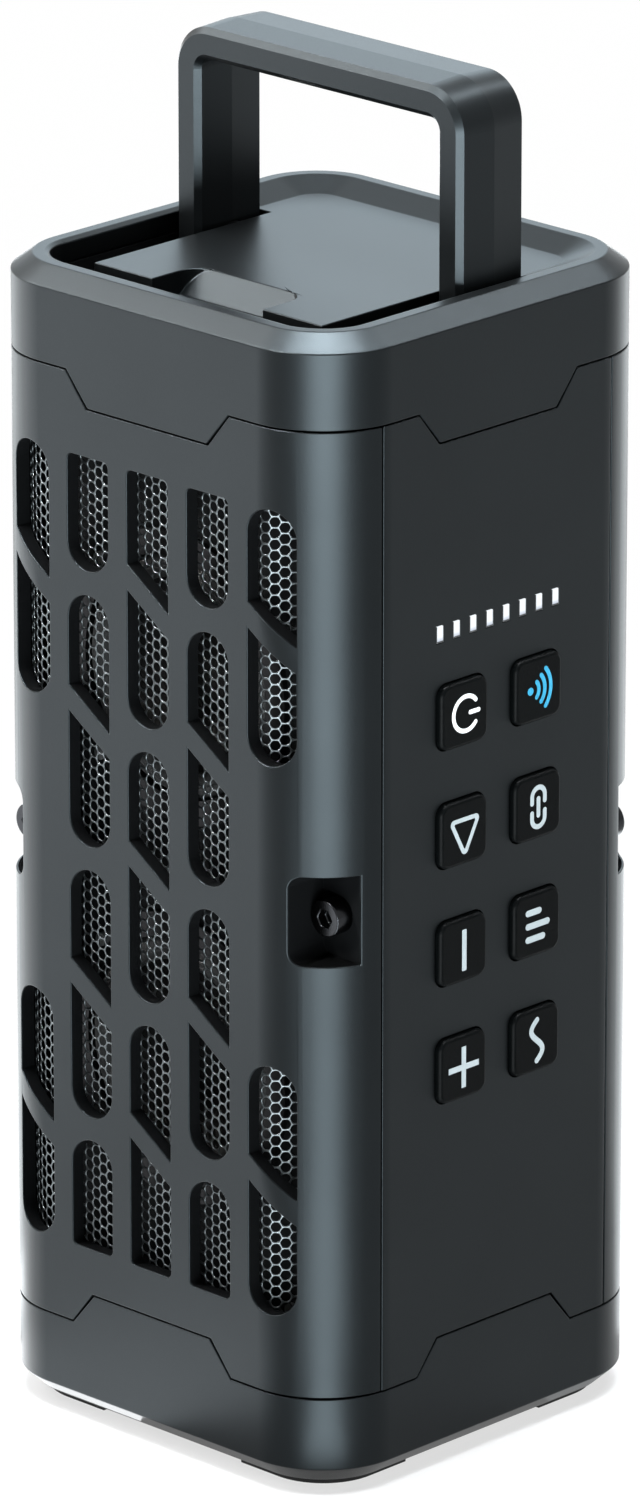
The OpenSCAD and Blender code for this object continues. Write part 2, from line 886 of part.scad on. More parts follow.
// Strap section: x across the thickness, y across the width
module strap_section() {
    t = strap_t / 2;
    w = strap_w / 2;
    c = strap_chamfer;
    polygon([
        [t + strap_crown, 0], [t, w - c], [t - c, w], [-t + c, w], [-t, w - c],
        [-t - strap_crown, 0], [-t, -w + c], [-t + c, -w], [t - c, -w], [t, -w + c]
    ]);
}

module strap_half_section() {
    intersection() {
        rotate(90) strap_section();
        translate([0, -strap_t]) square([strap_w, 2 * strap_t]);
    }
}

// Bent strap: crossbar, two bends and two legs with round ends at the pins
module handle() {
    bend = strap_bend_r - strap_t / 2;
    bend_x = leg_out - strap_bend_r;
    bend_z = bar_top - strap_bend_r;
    color(handle_colour) difference() {
        translate([0, pivot_back, 0]) {
            translate([0, 0, bar_top - strap_t / 2]) rotate([0, -90, 0])
                linear_extrude(2 * bend_x, center = true) strap_section();
            both_sides() {
                translate([bend_x, 0, bend_z]) rotate([90, 0, 0])
                    rotate_extrude(angle = 90) translate([bend, 0]) strap_section();
                translate([leg_mid, 0, pivot_z]) linear_extrude(bend_z - pivot_z) strap_section();
                translate([leg_mid, 0, pivot_z]) rotate([0, 90, 0]) rotate_extrude() strap_half_section();
            }
        }
        both_sides() translate([0, pivot_back, pivot_z]) {
            rod_x(leg_in - over, leg_out + over, pin_d / 2 + running_fit);
            rod_x(leg_in - over, leg_in, washer_r + fit);
            rod_x(leg_out, leg_out + over, washer_r + fit);
        }
    }
}

module handle_pins() {
    color(steel_colour) both_sides() translate([0, pivot_back, pivot_z])
        rod_x(pin_in, pin_out - fit, pin_d / 2);
}

// Friction washers between the legs and the walls of the well
module handle_washers() {
    color(black_colour) both_sides() translate([0, pivot_back, pivot_z])
        for (x = [channel_in, leg_out]) difference() {
            rod_x(x + washer_play, x + channel_gap - washer_play, washer_r);
            rod_x(x - over, x + channel_gap + over, pin_d / 2 + running_fit);
        }
}

module base_screw_places() {
    for (x = [-leg_x, leg_x], y = [-leg_y, leg_y]) translate([x, y, base_z]) children();
}

module base_cap() {
    color(cap_colour) difference() {
        union() {
            difference() {
                union() {
                    translate([0, 0, base_z])
                        rounded_taper(half - base_chamfer_in, half, corner_c, base_chamfer_h);
                    along_z(base_z + base_chamfer_h, low_seam) rounded_square(half, corner_c);
                }
                along_z(floor_z, low_seam + over) rounded_square(inner_half, corner_c);
            }
            tabs(low_seam, 1);
            lip(low_seam - lip_root, low_seam + lip_h, low_seam - lip_root, low_seam - lip_root_gap);
        }
        base_screw_places() {
            rod_z(-over, base_floor + over, m3_r + fit);
            rod_z(-over, m3_head_h + head_sink, m3_head_r + fit);
        }
    }
}

module base_screws() {
    color(steel_colour) base_screw_places() translate([0, 0, m3_head_h + head_sink])
        rotate([180, 0, 0]) pan_screw(m3_r, m3_head_r, m3_head_h, m3_l);
}

module feet() {
    foot_half = half - base_chamfer_in - foot_inset;
    color(rubber_colour) for (a = [0 : 90 : 270]) rotate(a) along_z(0, foot_h) intersection() {
        rounded_square(foot_half, corner_c);
        translate([foot_half - foot_w, foot_half - foot_w]) square(foot_w + over);
    }
}

module shell_screw_places() {
    front_and_back() both_sides() translate([screw_x, -pocket_y, mid_z]) children();
}

module shell_screws() {
    color(black_colour) shell_screw_places() difference() {
        union() {
            rod_y(-m4_head_h, 0, m4_head_r);
            rod_y(-over / 2, m4_l, m4_r);
        }
        translate([0, -m4_head_h + m4_socket_h, 0]) rotate([90, 0, 0])
            cylinder(r = m4_socket_r, h = m4_head_h, $fn = 6);
    }
}

module shell_inserts() {
    color(brass_colour) shell_screw_places() translate([0, pocket_floor + fit, 0]) difference() {
        rod_y(0, insert_l, insert_r);
        rod_y(-over, insert_l + over, m4_r + screw_fit);
    }
}

// Closed box that the drivers and radiators share, open at the front
module speaker_box() {
    color(black_colour) difference() {
        union() {
            block([-box_x, box_x], [-box_front, box_back], [box_low, box_high]);
            block([-flange_x, flange_x], [-flange_y, flange_y], [box_high - box_wall, box_high]);
            front_and_back() both_sides()
                block([box_x - over, ear_x], [-ear_y, -ear_y + ear_in],
                      [mid_z - ear_h / 2, mid_z + ear_h / 2]);
            base_screw_places() rod_z(base_floor, box_low + over - base_z, leg_r);
            well_screw_places() rod_z(box_high - over - well_z, -well_floor, well_post_r);
            board_posts() rod_x(box_x - over, board_x, m2_head_r + post_rim);
        }
        block([-box_x + box_wall, box_x - box_wall], [-box_front - over, box_back - box_wall],
              [box_low + box_wall, box_high - box_wall]);
        for (s = [-1, 1]) translate([0, 0, driver_z(s)]) rod_y(0, box_back + over, radiator_hole_r);
        shell_screw_places() rod_y(0, pocket_floor + fit + insert_l, insert_r + screw_fit);
        shell_screw_places() rod_y(0, m4_l + over, m4_r + fit);
        base_screw_places() rod_z(0, m3_head_h + m3_l + over, m3_r + screw_fit);
        well_screw_places() rod_z(-well_floor - m3_l, 0, m3_r + screw_fit);
        board_posts() rod_x(board_x - m2_l, board_x + over, m2_r + screw_fit);
        baffle_screw_places() rod_y(0, baffle_t + m2_l + over, m2_r + screw_fit);
    }
}

function driver_z(s) = box_mid + s * driver_pitch / 2;

// Corners of the key board on +X and of the main board on -X
module board_posts() {
    for (y = [-1, 1], z = [key_board_z0 + board_screw_in, key_board_z1 - board_screw_in])
        translate([0, y * (key_board_w / 2 - board_screw_in), z]) children();
    mirror([1, 0, 0])
        for (y = [-1, 1], z = [main_board_z0 + board_screw_in, main_board_z1 - board_screw_in])
            translate([0, y * (main_board_w / 2 - board_screw_in), z]) children();
}

module board_screws() {
    color(steel_colour) board_posts() translate([board_face, 0, 0])
        rotate([0, 90, 0]) pan_screw(m2_r, m2_head_r, m2_head_h, m2_l);
}

module baffle_screw_places() {
    for (x = [-1, 1], z = [box_low + baffle_screw_in, box_mid, box_high - baffle_screw_in])
        translate([x * (box_x - box_wall / 2), -baffle_front, z]) children();
}

// Places for a driver at the front and for a radiator at the back
module driver_place(s) {
    translate([0, -baffle_front, driver_z(s)]) rotate([90, 0, 0]) children();
}

module radiator_place(s) {
    translate([0, box_back, driver_z(s)]) rotate([-90, 0, 0]) children();
}

module driver_screw_places() {
    for (s = [-1, 1]) driver_place(s)
        for (a = [45 : 90 : 315]) rotate(a) translate([cone_screw_r, 0, frame_t]) children();
}

module baffle() {
    color(black_colour) difference() {
        block([-box_x, box_x], [-baffle_front, -baffle_front + baffle_t], [box_low, box_high]);
        for (s = [-1, 1]) translate([0, 0, driver_z(s)]) rod_y(-half, 0, driver_hole_r);
        baffle_screw_places() rod_y(-over, baffle_t + over, m2_r + fit);
        driver_screw_places() rod_z(-baffle_t - frame_t - over, over, m2_r + screw_fit);
    }
}

module baffle_gasket() {
    color(rubber_colour) difference() {
        block([-box_x, box_x], [-box_front - gasket_t, -box_front], [box_low, box_high]);
        block([-box_x + box_wall, box_x - box_wall], [-half, 0], [box_low + box_wall, box_high - box_wall]);
        baffle_screw_places() rod_y(-over, baffle_t + gasket_t + over, m2_r + fit);
    }
}

module baffle_screws() {
    color(steel_colour) baffle_screw_places()
        rotate([90, 0, 0]) pan_screw(m2_r, m2_small_head_r, m2_head_h, baffle_t + m2_l);
}

module driver_basket(s) {
    hole_r = coil_r + coil_t + coil_gap + basket_hole_gap;
    foot_r = plate_r + frame_t;
    color(black_colour) driver_place(s) difference() {
        rotate_extrude() polygon([
            [driver_r, 0], [driver_r, frame_t], [frame_in, frame_t], [frame_in, -baffle_t],
            [plate_r, -basket_depth + frame_t], [hole_r, -basket_depth + frame_t],
            [hole_r, -basket_depth], [foot_r, -basket_depth], [foot_r, -basket_depth + basket_foot],
            [basket_r, -basket_neck], [basket_r, 0]
        ]);
        for (a = [45 : 90 : 315]) rotate(a)
            translate([plate_r + window_in, -plate_r / 2, -basket_depth + window_low])
                cube([driver_r, plate_r, basket_depth - window_low - window_rim]);
        for (a = [45 : 90 : 315]) rotate(a)
            translate([cone_screw_r, 0, 0]) rod_z(-over, frame_t + over, m2_r + screw_fit);
    }
}

module driver_basket_upper() { driver_basket(1); }
module driver_basket_lower() { driver_basket(-1); }

// Magnet, plates and pole with the gap for the voice coil
module driver_motor(s) {
    top = -basket_depth;
    magnet_top = top - plate_h;
    magnet_low = magnet_top - magnet_h;
    gap_out = coil_r + coil_t + coil_gap;
    magnet_in = gap_out + magnet_gap;
    pole_r = coil_r - coil_gap;
    color(steel_colour) driver_place(s) rotate_extrude() polygon([
        [0, magnet_low - back_plate_h], [plate_r, magnet_low - back_plate_h], [plate_r, magnet_low],
        [magnet_r, magnet_low], [magnet_r, magnet_top], [plate_r, magnet_top], [plate_r, top],
        [gap_out, top], [gap_out, magnet_top], [magnet_in, magnet_top], [magnet_in, magnet_low],
        [pole_r, magnet_low], [pole_r, top - pole_drop], [0, top - pole_drop]
    ]);
}

module driver_motor_upper() { driver_motor(1); }
module driver_motor_lower() { driver_motor(-1); }

// Cone with its coil former and dust cap
module driver_cone(s) {
    former_end = -basket_depth - plate_h - magnet_h + cone_travel + coil_end_gap;
    dome_r = (coil_r * coil_r + dome_h * dome_h) / (2 * dome_h);
    dome_z = cone_neck_z + coil_t;
    color(black_colour) driver_place(s) {
        rotate_extrude() polygon([
            [coil_r, former_end], [coil_r + coil_t, former_end], [coil_r + coil_t, cone_neck_z],
            [cone_r, cone_edge_z - cone_t], [cone_r, cone_edge_z], [cone_r - cone_t, cone_edge_z],
            [coil_r, cone_neck_z + cone_t]
        ]);
        rotate_extrude() intersection() {
            translate([0, dome_z + dome_h - dome_r]) difference() {
                circle(dome_r);
                circle(dome_r - coil_t);
            }
            translate([0, dome_z]) square([coil_r + coil_t / 2, dome_h + over]);
        }
    }
}

module driver_cone_upper() { driver_cone(1); }
module driver_cone_lower() { driver_cone(-1); }

// Half roll of rubber between a moving rim and its frame
module half_roll(r_mid, r, t) {
    intersection() {
        translate([r_mid, 0]) difference() {
            circle(r);
            circle(r - t);
        }
        translate([r_mid - r - over, 0]) square([2 * (r + over), r + over]);
    }
}

module driver_surround(s) {
    color(rubber_colour) driver_place(s) rotate_extrude()
        translate([0, roll_z]) half_roll(frame_in - roll_r - roll_edge, roll_r, roll_t);
}

module driver_surround_upper() { driver_surround(1); }
module driver_surround_lower() { driver_surround(-1); }

module driver_screws() {
    color(steel_colour) driver_screw_places()
        pan_screw(m2_r, m2_small_head_r, m2_head_h, frame_t + baffle_t - screw_end_gap);
}

module radiator_plate(s) {
    color(black_colour) radiator_place(s)
        rod_z(-radiator_plate_t / 2, radiator_plate_t / 2, radiator_plate_r);
}

module radiator_plate_upper() { radiator_plate(1); }
module radiator_plate_lower() { radiator_plate(-1); }

// Rubber roll with the flange that the ring clamps
module radiator_surround(s) {
    color(rubber_colour) radiator_place(s) rotate_extrude() {
        half_roll(radiator_plate_r + fit + radiator_roll_r, radiator_roll_r, roll_t);
        translate([radiator_plate_r + fit + 2 * radiator_roll_r - roll_t, 0])
            square([driver_r - radiator_plate_r - 2 * radiator_roll_r - fit, radiator_clamp_t]);
    }
}

module radiator_surround_upper() { radiator_surround(1); }
module radiator_surround_lower() { radiator_surround(-1); }

module radiator_rings() {
    color(black_colour) for (s = [-1, 1]) radiator_place(s) translate([0, 0, radiator_clamp_t])
        difference() {
            rod_z(0, radiator_ring_t, driver_r);
            rod_z(-over, radiator_ring_t + over, radiator_hole_r - radiator_ring_lip);
        }
}

// Board behind the port panel, with its ribbon and battery plugs and main chips
module main_board() {
    color(board_colour) mirror([1, 0, 0]) difference() {
        union() {
            block([board_x, board_face], [-main_board_w / 2, main_board_w / 2],
                  [main_board_z0, main_board_z1]);
            block([board_face - over / 4, ribbon_x], [-ribbon_w / 2, ribbon_w / 2],
                  [main_plug_z, main_plug_z + ribbon_plug_h]);
            block([board_face - over / 4, board_face + lead_plug_t], [-2 * lead_y, 2 * lead_y],
                  [main_board_z0, main_board_z0 + lead_plug_h]);
            translate([0, 0, mid_z - chip_drop]) block(
                [board_face - over / 4, board_face + chip_t], [-chip_w / 2, chip_w / 2],
                [-chip_w / 2, chip_w / 2]
            );
            translate([0, choke_y, mid_z + choke_rise]) block(
                [board_face - over / 4, board_face + choke_t], [-choke_w / 2, choke_w / 2],
                [-choke_h / 2, choke_h / 2]
            );
            for (y = capacitor_y) translate([0, y, mid_z + capacitor_rise])
                rod_x(board_face - over / 4, board_face + capacitor_l, capacitor_r);
        }
        mirror([1, 0, 0]) board_posts() rod_x(board_x - over, board_face + over, m2_r + fit);
    }
}

// Charging socket that stands on the board and points out of the port panel
module usb_outline(shrink) {
    r = usb_h / 2 - shrink;
    for (y = [-1, 1]) translate([y * (usb_w - usb_h) / 2, port_z]) circle(r);
    translate([-(usb_w - usb_h) / 2, port_z - r]) square([usb_w - usb_h, 2 * r]);
}

module usb_socket() {
    color(steel_colour) mirror([1, 0, 0]) {
        difference() {
            along_x(board_face, usb_x) usb_outline(0);
            along_x(usb_x - usb_depth, usb_x + over) usb_outline(usb_t);
        }
        block([usb_x - usb_depth - over / 4, usb_x - tongue_in], [-tongue_w / 2, tongue_w / 2],
              [port_z - tongue_h / 2, port_z + tongue_h / 2]);
    }
}

module key_board() {
    color(board_colour) difference() {
        union() {
            block([board_x, board_face], [-key_board_w / 2, key_board_w / 2], [key_board_z0, key_board_z1]);
            block([board_face - over / 4, ribbon_x], [-ribbon_w / 2, ribbon_w / 2],
                  [key_plug_z, key_plug_z + ribbon_plug_h]);
        }
        board_posts() rod_x(board_x - over, board_face + over, m2_r + fit);
    }
}

module key_switches() {
    color(black_colour) key_places() difference() {
        block([board_face, board_face + switch_h], [-switch_w / 2, switch_w / 2],
              [-switch_w / 2, switch_w / 2]);
        rod_x(switch_floor, half, stem_r + stem_play);
    }
}

// Clear comb whose teeth fill the light windows
module light_guide() {
    color(light_colour) {
        light_places() along_x(inner_half - over, half)
            square([light_w, light_h], center = true);
        block([inner_half - key_lift - light_back, inner_half - key_lift],
              [-light_n * light_pitch / 2, light_n * light_pitch / 2],
              [light_z - light_h / 2 - light_rim, light_z + light_h / 2 + light_rim]);
    }
}

module level_leds() {
    color(light_colour) light_places()
        block([board_face, board_face + led_h], [-led_w / 2, led_w / 2], [-led_w / 2, led_w / 2]);
}

// Flat cable from the key board over the box to the main board
module key_ribbon() {
    color(steel_colour) {
        block([ribbon_x, ribbon_x + ribbon_t], [-ribbon_w / 2, ribbon_w / 2],
              [key_plug_z, ribbon_z + ribbon_t]);
        block([-ribbon_x - ribbon_t, ribbon_x + ribbon_t], [-ribbon_w / 2, ribbon_w / 2],
              [ribbon_z, ribbon_z + ribbon_t]);
        block([-ribbon_x - ribbon_t, -ribbon_x], [-ribbon_w / 2, ribbon_w / 2],
              [main_plug_z, ribbon_z + ribbon_t]);
    }
}

// Key with bevelled cap, stop flange and stem; row counts from the top, col is -1 or 1
module key(row, col) {
    k = key_w / 2 - key_r;
    color(key_colour) translate([0, col * key_col / 2, key_mid_z + key_rows[row] * key_row]) {
        along_x(key_back, half + trim_proud - key_bevel) rounded_square(key_w / 2, k);
        translate([half + trim_proud - key_bevel, 0, 0]) rotate([0, 90, 0])
            rounded_taper(key_w / 2, key_w / 2 - key_bevel, k, key_bevel);
        along_x(key_back, key_back + key_flange_t) rounded_square(key_w / 2 + key_flange_w, k);
        rod_x(stem_end, key_back + over / 2, stem_r);
    }
}

module key_power() { key(0, -1); }
module key_wireless() { key(0, 1); }
module key_play() { key(1, -1); }
module key_link() { key(1, 1); }
module key_minus() { key(2, -1); }
module key_mode() { key(2, 1); }
module key_plus() { key(3, -1); }
module key_bass() { key(3, 1); }

module cell_places() {
    for (y = [-cell_y, cell_y]) translate([0, y, cell_z]) children();
}

module battery_cells() {
    color(cell_colour) cell_places() rod_x(-cell_l / 2, cell_l / 2, cell_r);
}

module battery_half(z0, z1) {
    difference() {
        block([-tray_x, tray_x], [-tray_y, tray_y], [z0, z1]);
        cell_places() rod_x(-cell_l / 2 - cell_play, cell_l / 2 + cell_play, cell_r + cell_play);
    }
}

module battery_tray() {
    color(black_colour) battery_half(floor_z, cell_z - fit / 2);
}

// Upper half of the cell holder, with the terminal block at its -X end
module battery_lid() {
    color(black_colour) {
        battery_half(cell_z + fit / 2, lid_top);
        block([-lead_x - lead_plug_t / 2, -tray_x + over], [-2 * lead_y, 2 * lead_y],
              [lid_top - terminal_h, lid_top]);
    }
}

module battery_pad() {
    color(rubber_colour) block([-box_x, box_x], [-tray_y, tray_y], [lid_top, box_low]);
}

module battery_leads() {
    color(lead_colour) for (y = [-lead_y, lead_y]) translate([-lead_x, y, 0])
        rod_z(lid_top, main_board_z0, lead_r);
}

front_shell();
rear_shell();
front_mesh();
rear_mesh();
control_panel();
port_panel();
top_cap();
handle_well();
handle();
handle_pins();
handle_washers();
base_cap();
feet();
shell_screws();
shell_inserts();
well_screws();
cap_screws();
base_screws();
speaker_box();
baffle();
baffle_gasket();
baffle_screws();
driver_basket_upper();
driver_basket_lower();
driver_motor_upper();
driver_motor_lower();
driver_cone_upper();
driver_cone_lower();
driver_surround_upper();
driver_surround_lower();
driver_screws();
radiator_plate_upper();
radiator_plate_lower();
radiator_surround_upper();
radiator_surround_lower();
radiator_rings();
main_board();
usb_socket();
port_door();
door_pin();
key_board();
key_switches();
light_guide();
level_leds();
board_screws();
key_ribbon();
key_power();
key_wireless();
key_play();
key_link();
key_minus();
key_mode();
key_plus();
key_bass();
battery_cells();
battery_tray();
battery_lid();
battery_pad();
battery_leads();
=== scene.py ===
import math

import bpy
from mathutils import Matrix, Vector


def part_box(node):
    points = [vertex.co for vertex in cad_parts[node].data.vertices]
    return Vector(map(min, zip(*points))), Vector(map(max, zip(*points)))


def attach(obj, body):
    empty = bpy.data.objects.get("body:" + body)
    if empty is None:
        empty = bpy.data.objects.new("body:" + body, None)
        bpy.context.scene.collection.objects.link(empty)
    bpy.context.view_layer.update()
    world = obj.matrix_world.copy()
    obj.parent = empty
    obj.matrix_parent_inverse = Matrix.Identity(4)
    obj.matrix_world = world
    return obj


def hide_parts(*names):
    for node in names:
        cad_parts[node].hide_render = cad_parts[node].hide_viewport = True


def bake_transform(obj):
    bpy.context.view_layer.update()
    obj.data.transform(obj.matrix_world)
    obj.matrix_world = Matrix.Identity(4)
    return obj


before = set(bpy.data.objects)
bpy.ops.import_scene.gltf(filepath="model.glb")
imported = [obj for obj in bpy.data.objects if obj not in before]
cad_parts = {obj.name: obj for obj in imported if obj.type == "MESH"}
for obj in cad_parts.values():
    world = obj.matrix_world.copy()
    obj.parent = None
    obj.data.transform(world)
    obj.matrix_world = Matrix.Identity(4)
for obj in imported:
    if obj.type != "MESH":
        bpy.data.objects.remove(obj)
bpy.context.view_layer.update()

# Base cap: the deep tray that closes the case underneath. Moulded ABS under a sprayed satin grey
# coat; its four tabs lap over the faces, and screws from below hold it to the acoustic box.
MM = 0.001
GREY_COAT = (0.0136, 0.0160, 0.0173)
COAT_METAL = 0.97
# Painted shade: the slots and pockets of the shells get this near-black colour and roughness in place of
# the coat.
RECESS_SHADE_BLACK = (0.003, 0.0032, 0.0034)
RECESS_SHADE_ROUGH = 0.4
CASE_K = 27.8 * MM
CASE_R = 17.2 * MM
# Depth below the outer skin at which the painted shade begins.
RECESS_SHADE_DEPTH = 0.4 * MM
CLOUD_SIZE = 24 * MM
FLAKE_SIZE = 0.22 * MM
PEEL_DEPTH = 0.012 * MM
CASE_EDGE = 0.22 * MM
WELD_GAP = 0.001 * MM
FLAT_ANGLE = math.radians(0.3)
EDGE_ANGLE = math.radians(13)


class Value:
    """A shader socket. Python operators on it add Math nodes."""

    def __init__(self, nodes, socket):
        self.nodes = nodes
        self.socket = socket

    def math(self, operation, first, second=0.0):
        return self.nodes.node("ShaderNodeMath", {"operation": operation}, {0: first, 1: second})

    def __add__(self, other):
        return self.math("ADD", self, other)

    def __radd__(self, other):
        return self.math("ADD", other, self)

    def __sub__(self, other):
        return self.math("SUBTRACT", self, other)

    def __rsub__(self, other):
        return self.math("SUBTRACT", other, self)

    def __mul__(self, other):
        return self.math("MULTIPLY", self, other)

    def __rmul__(self, other):
        return self.math("MULTIPLY", other, self)

    def __truediv__(self, other):
        return self.math("DIVIDE", self, other)

    def __rtruediv__(self, other):
        return self.math("DIVIDE", other, self)

    def __gt__(self, other):
        return self.math("GREATER_THAN", self, other)

    def __lt__(self, other):
        return self.math("LESS_THAN", self, other)

    def __abs__(self):
        return self.math("ABSOLUTE", self)


class Nodes:
    """A node tree that nodes are added to and linked in."""

    def __init__(self, tree):
        self.tree = tree

    def node(self, kind, settings=None, inputs=None, output=0):
        made = self.tree.nodes.new(kind)
        for name, value in (settings or {}).items():
            setattr(made, name, value)
        for name, value in (inputs or {}).items():
            self.feed(made.inputs[name], value)
        return Value(self, made.outputs[output])

    def feed(self, socket, value):
        if isinstance(value, Value):
            self.tree.links.new(value.socket, socket)
        else:
            socket.default_value = value


class Finish(Nodes):
    """One procedural material: a Principled shader and the nodes that feed it."""

    def __init__(self, name):
        self.material = bpy.data.materials.new(name)
        self.material.use_nodes = True
        super().__init__(self.material.node_tree)
        self.shader = self.tree.nodes["Principled BSDF"]
        self.place = self.node("ShaderNodeTexCoord", output="Object")

    def shade(self, sockets):
        for name, value in sockets.items():
            self.feed(self.shader.inputs[name], value)

    def noise(self, size, detail=2.0, place=None):
        sockets = {"Vector": place or self.place, "Scale": 1 / size, "Detail": detail}
        return self.node("ShaderNodeTexNoise", inputs=sockets)

    def along(self, axis):
        return self.node("ShaderNodeSeparateXYZ", inputs={0: self.place}, output=axis)

    def blend(self, factor, low, high):
        first = low if isinstance(low, Value) else (*low, 1.0)
        second = high if isinstance(high, Value) else (*high, 1.0)
        return self.node("ShaderNodeMix", {"data_type": "RGBA"}, {0: factor, 6: first, 7: second}, output=2)

    def bump(self, height, depth):
        return self.node("ShaderNodeBump", inputs={"Height": height, "Distance": depth, "Strength": 1.0})


def times(colour, factor):
    return tuple(c * factor for c in colour)


def satin_coat(name, colour, roughness=0.38, unshaded_mask=None):
    """Sprayed metallic coat: faint clouds, fine flake and a peel grain.
    Where the mask is 0, in slots and pockets, near-black is painted as shade, rougher and not metallic."""
    finish = Finish(name)
    cloud = finish.noise(CLOUD_SIZE, 3.0)
    flake = finish.noise(FLAKE_SIZE, 1.0)
    tone = 0.5 * cloud + 0.5 * flake
    coat = finish.blend(tone, times(colour, 0.82), times(colour, 1.18))
    gloss = roughness - 0.05 + 0.10 * flake
    metallic = COAT_METAL
    if unshaded_mask:
        mask = unshaded_mask(finish)
        coat = finish.blend(mask, RECESS_SHADE_BLACK, coat)
        gloss = gloss + RECESS_SHADE_ROUGH * (1.0 - mask)
        metallic = COAT_METAL * mask
    finish.shade({
        "Base Color": coat,
        "Roughness": gloss,
        "Metallic": metallic,
        "Specular IOR Level": 0.0,
        "Normal": finish.bump(flake, PEEL_DEPTH),
    })
    return finish.material


def off_case(finish):
    """Distance out from the upright outer skin of the case, below 0 inside it."""
    x = abs(finish.along(0)) - CASE_K
    y = abs(finish.along(1)) - CASE_K
    x = x.math("MAXIMUM", x, 0.0)
    y = y.math("MAXIMUM", y, 0.0)
    return x.math("SQRT", x * x + y * y) - CASE_R


def outer_skin_unshaded(finish):
    """Mask that is 1 on the outer skin of the case and 0 deeper in its slots and pockets, where near-black
    shade is painted.
    """
    return off_case(finish) > -RECESS_SHADE_DEPTH


def dress(material, *names):
    """Gives CAD nodes their finish."""
    for name in names:
        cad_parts[name].material_slots[0].material = material


def soften(edge, *names):
    """Rounds the sharp edges of CAD nodes a little, as moulding and spraying leave them."""
    for name in names:
        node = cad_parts[name]
        node.modifiers.new("Join", "WELD").merge_threshold = WELD_GAP
        flat = node.modifiers.new("Flat", "DECIMATE")
        flat.decimate_type = "DISSOLVE"
        flat.angle_limit = FLAT_ANGLE
        bevel = node.modifiers.new("Edge", "BEVEL")
        bevel.width = edge
        bevel.segments = 2
        bevel.limit_method = "ANGLE"
        bevel.angle_limit = EDGE_ANGLE
        bevel.use_clamp_overlap = False
        bevel.loop_slide = False
        node.modifiers.new("Shading", "WEIGHTED_NORMAL")


grey_coat = satin_coat("grey_coat", GREY_COAT)
dress(grey_coat, "base_cap")
soften(CASE_EDGE, "base_cap")

# Feet: four corner pads of black rubber, glued to the underside of the base cap.
# The moulded rubber has a fine leathery grain.
FOOT_EDGE = 0.2 * MM
RUBBER_GRAIN = 0.5 * MM


def rubber(name, colour):
    finish = Finish(name)
    skin = finish.noise(RUBBER_GRAIN, 2.0)
    finish.shade({
        "Base Color": finish.blend(skin, times(colour, 0.7), times(colour, 1.4)),
        "Roughness": 0.62 + 0.2 * skin,
        "Normal": finish.bump(skin, 0.05 * MM),
    })
    return finish.material


black_rubber = rubber("black_rubber", (0.009, 0.0096, 0.0102))
dress(black_rubber, "feet", "baffle_gasket", "battery_pad")
soften(FOOT_EDGE, "feet")

# Battery: two cells in a two-part black holder on the base floor, with a foam pad on top.
# Each cell has a blue shrink sleeve that leaves its steel ends bare.
CELL_BARE_END = 1.6 * MM


def black_plastic(name, colour=(0.010, 0.011, 0.012), roughness=0.55, shine=0.2):
    finish = Finish(name)
    spark = finish.noise(0.4 * MM, 2.0)
    finish.shade({
        "Base Color": finish.blend(spark, times(colour, 0.8), times(colour, 1.25)),
        "Roughness": roughness - 0.08 + 0.16 * spark,
        "Specular IOR Level": shine,
        "Normal": finish.bump(spark, 0.03 * MM),
    })
    return finish.material


def metal(name, colour, roughness=0.32, stretch=(1, 1, 1), metallic=1.0):
    """Bare, plated or painted metal with fine drawing marks along the stretched axis."""
    finish = Finish(name)
    turned = finish.node("ShaderNodeMapping", inputs={"Vector": finish.place, "Scale": stretch})
    marks = finish.noise(0.3 * MM, 2.0, turned)
    finish.shade({
        "Base Color": finish.blend(marks, times(colour, 0.85), times(colour, 1.1)),
        "Metallic": metallic,
        "Roughness": roughness - 0.08 + 0.16 * marks,
    })
    return finish.material


moulded_black = black_plastic("moulded_black", (0.004, 0.0043, 0.0046), 0.6, 0.03)
dress(moulded_black, "battery_tray", "battery_lid")

sleeve = Finish("cell_sleeve")
cell_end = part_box("battery_cells")[1].x - CELL_BARE_END
bare = abs(sleeve.along(0)) > cell_end
shrink_marks = sleeve.noise(3 * MM, 2.0)
blue_film = sleeve.blend(shrink_marks, (0.035, 0.14, 0.38), (0.05, 0.18, 0.46))
sleeve.shade({
    "Base Color": sleeve.blend(bare, blue_film, (0.6, 0.6, 0.58)),
    "Metallic": bare,
    "Roughness": 0.3 + 0.1 * shrink_marks,
})
dress(sleeve.material, "battery_cells")

leads = Finish("lead_sheath")
wax = leads.noise(0.8 * MM)
leads.shade({
    "Base Color": leads.blend(leads.along(1) > 0.0, (0.012, 0.012, 0.013), (0.42, 0.02, 0.018)),
    "Roughness": 0.42 + 0.12 * wax,
})
dress(leads.material, "battery_leads")

# Acoustic box: a black moulded tub that the drivers and radiators share. Brass inserts in its
# ears take the case screws, and zinc-plated screws hold it to the base and the well.
zinc = metal("zinc_plate", (0.52, 0.54, 0.55))
brass = metal("brass", (0.62, 0.40, 0.13), stretch=(1, 0.1, 1))
dress(moulded_black, "speaker_box", "baffle")
dress(brass, "shell_inserts")
dress(zinc, "base_screws", "baffle_screws", "driver_screws")

# Drivers: pressed steel baskets with ferrite motors, and black cones on rubber surrounds.
# The cones are pulp, with a faint fibre in them.
black_steel = metal("black_steel", (0.02, 0.02, 0.021), 0.45)
ferrite = metal("motor_iron", (0.16, 0.16, 0.165), 0.5)
dress(black_steel, "driver_basket_upper", "driver_basket_lower")
dress(ferrite, "driver_motor_upper", "driver_motor_lower")
cone_pulp = black_plastic("cone_pulp", (0.005, 0.005, 0.005), 0.7, 0.03)
dress(cone_pulp, "driver_cone_upper", "driver_cone_lower")

# Surrounds: rolls of black rubber, glued between a basket and its cone. Each roll is made in two
# halves split at its crest; the outer half stays with the basket.
ROLL_T = 0.5 * MM
ROLL_STEPS = 96
FOLD_STEPS = 32
HAIR = 0.01 * MM


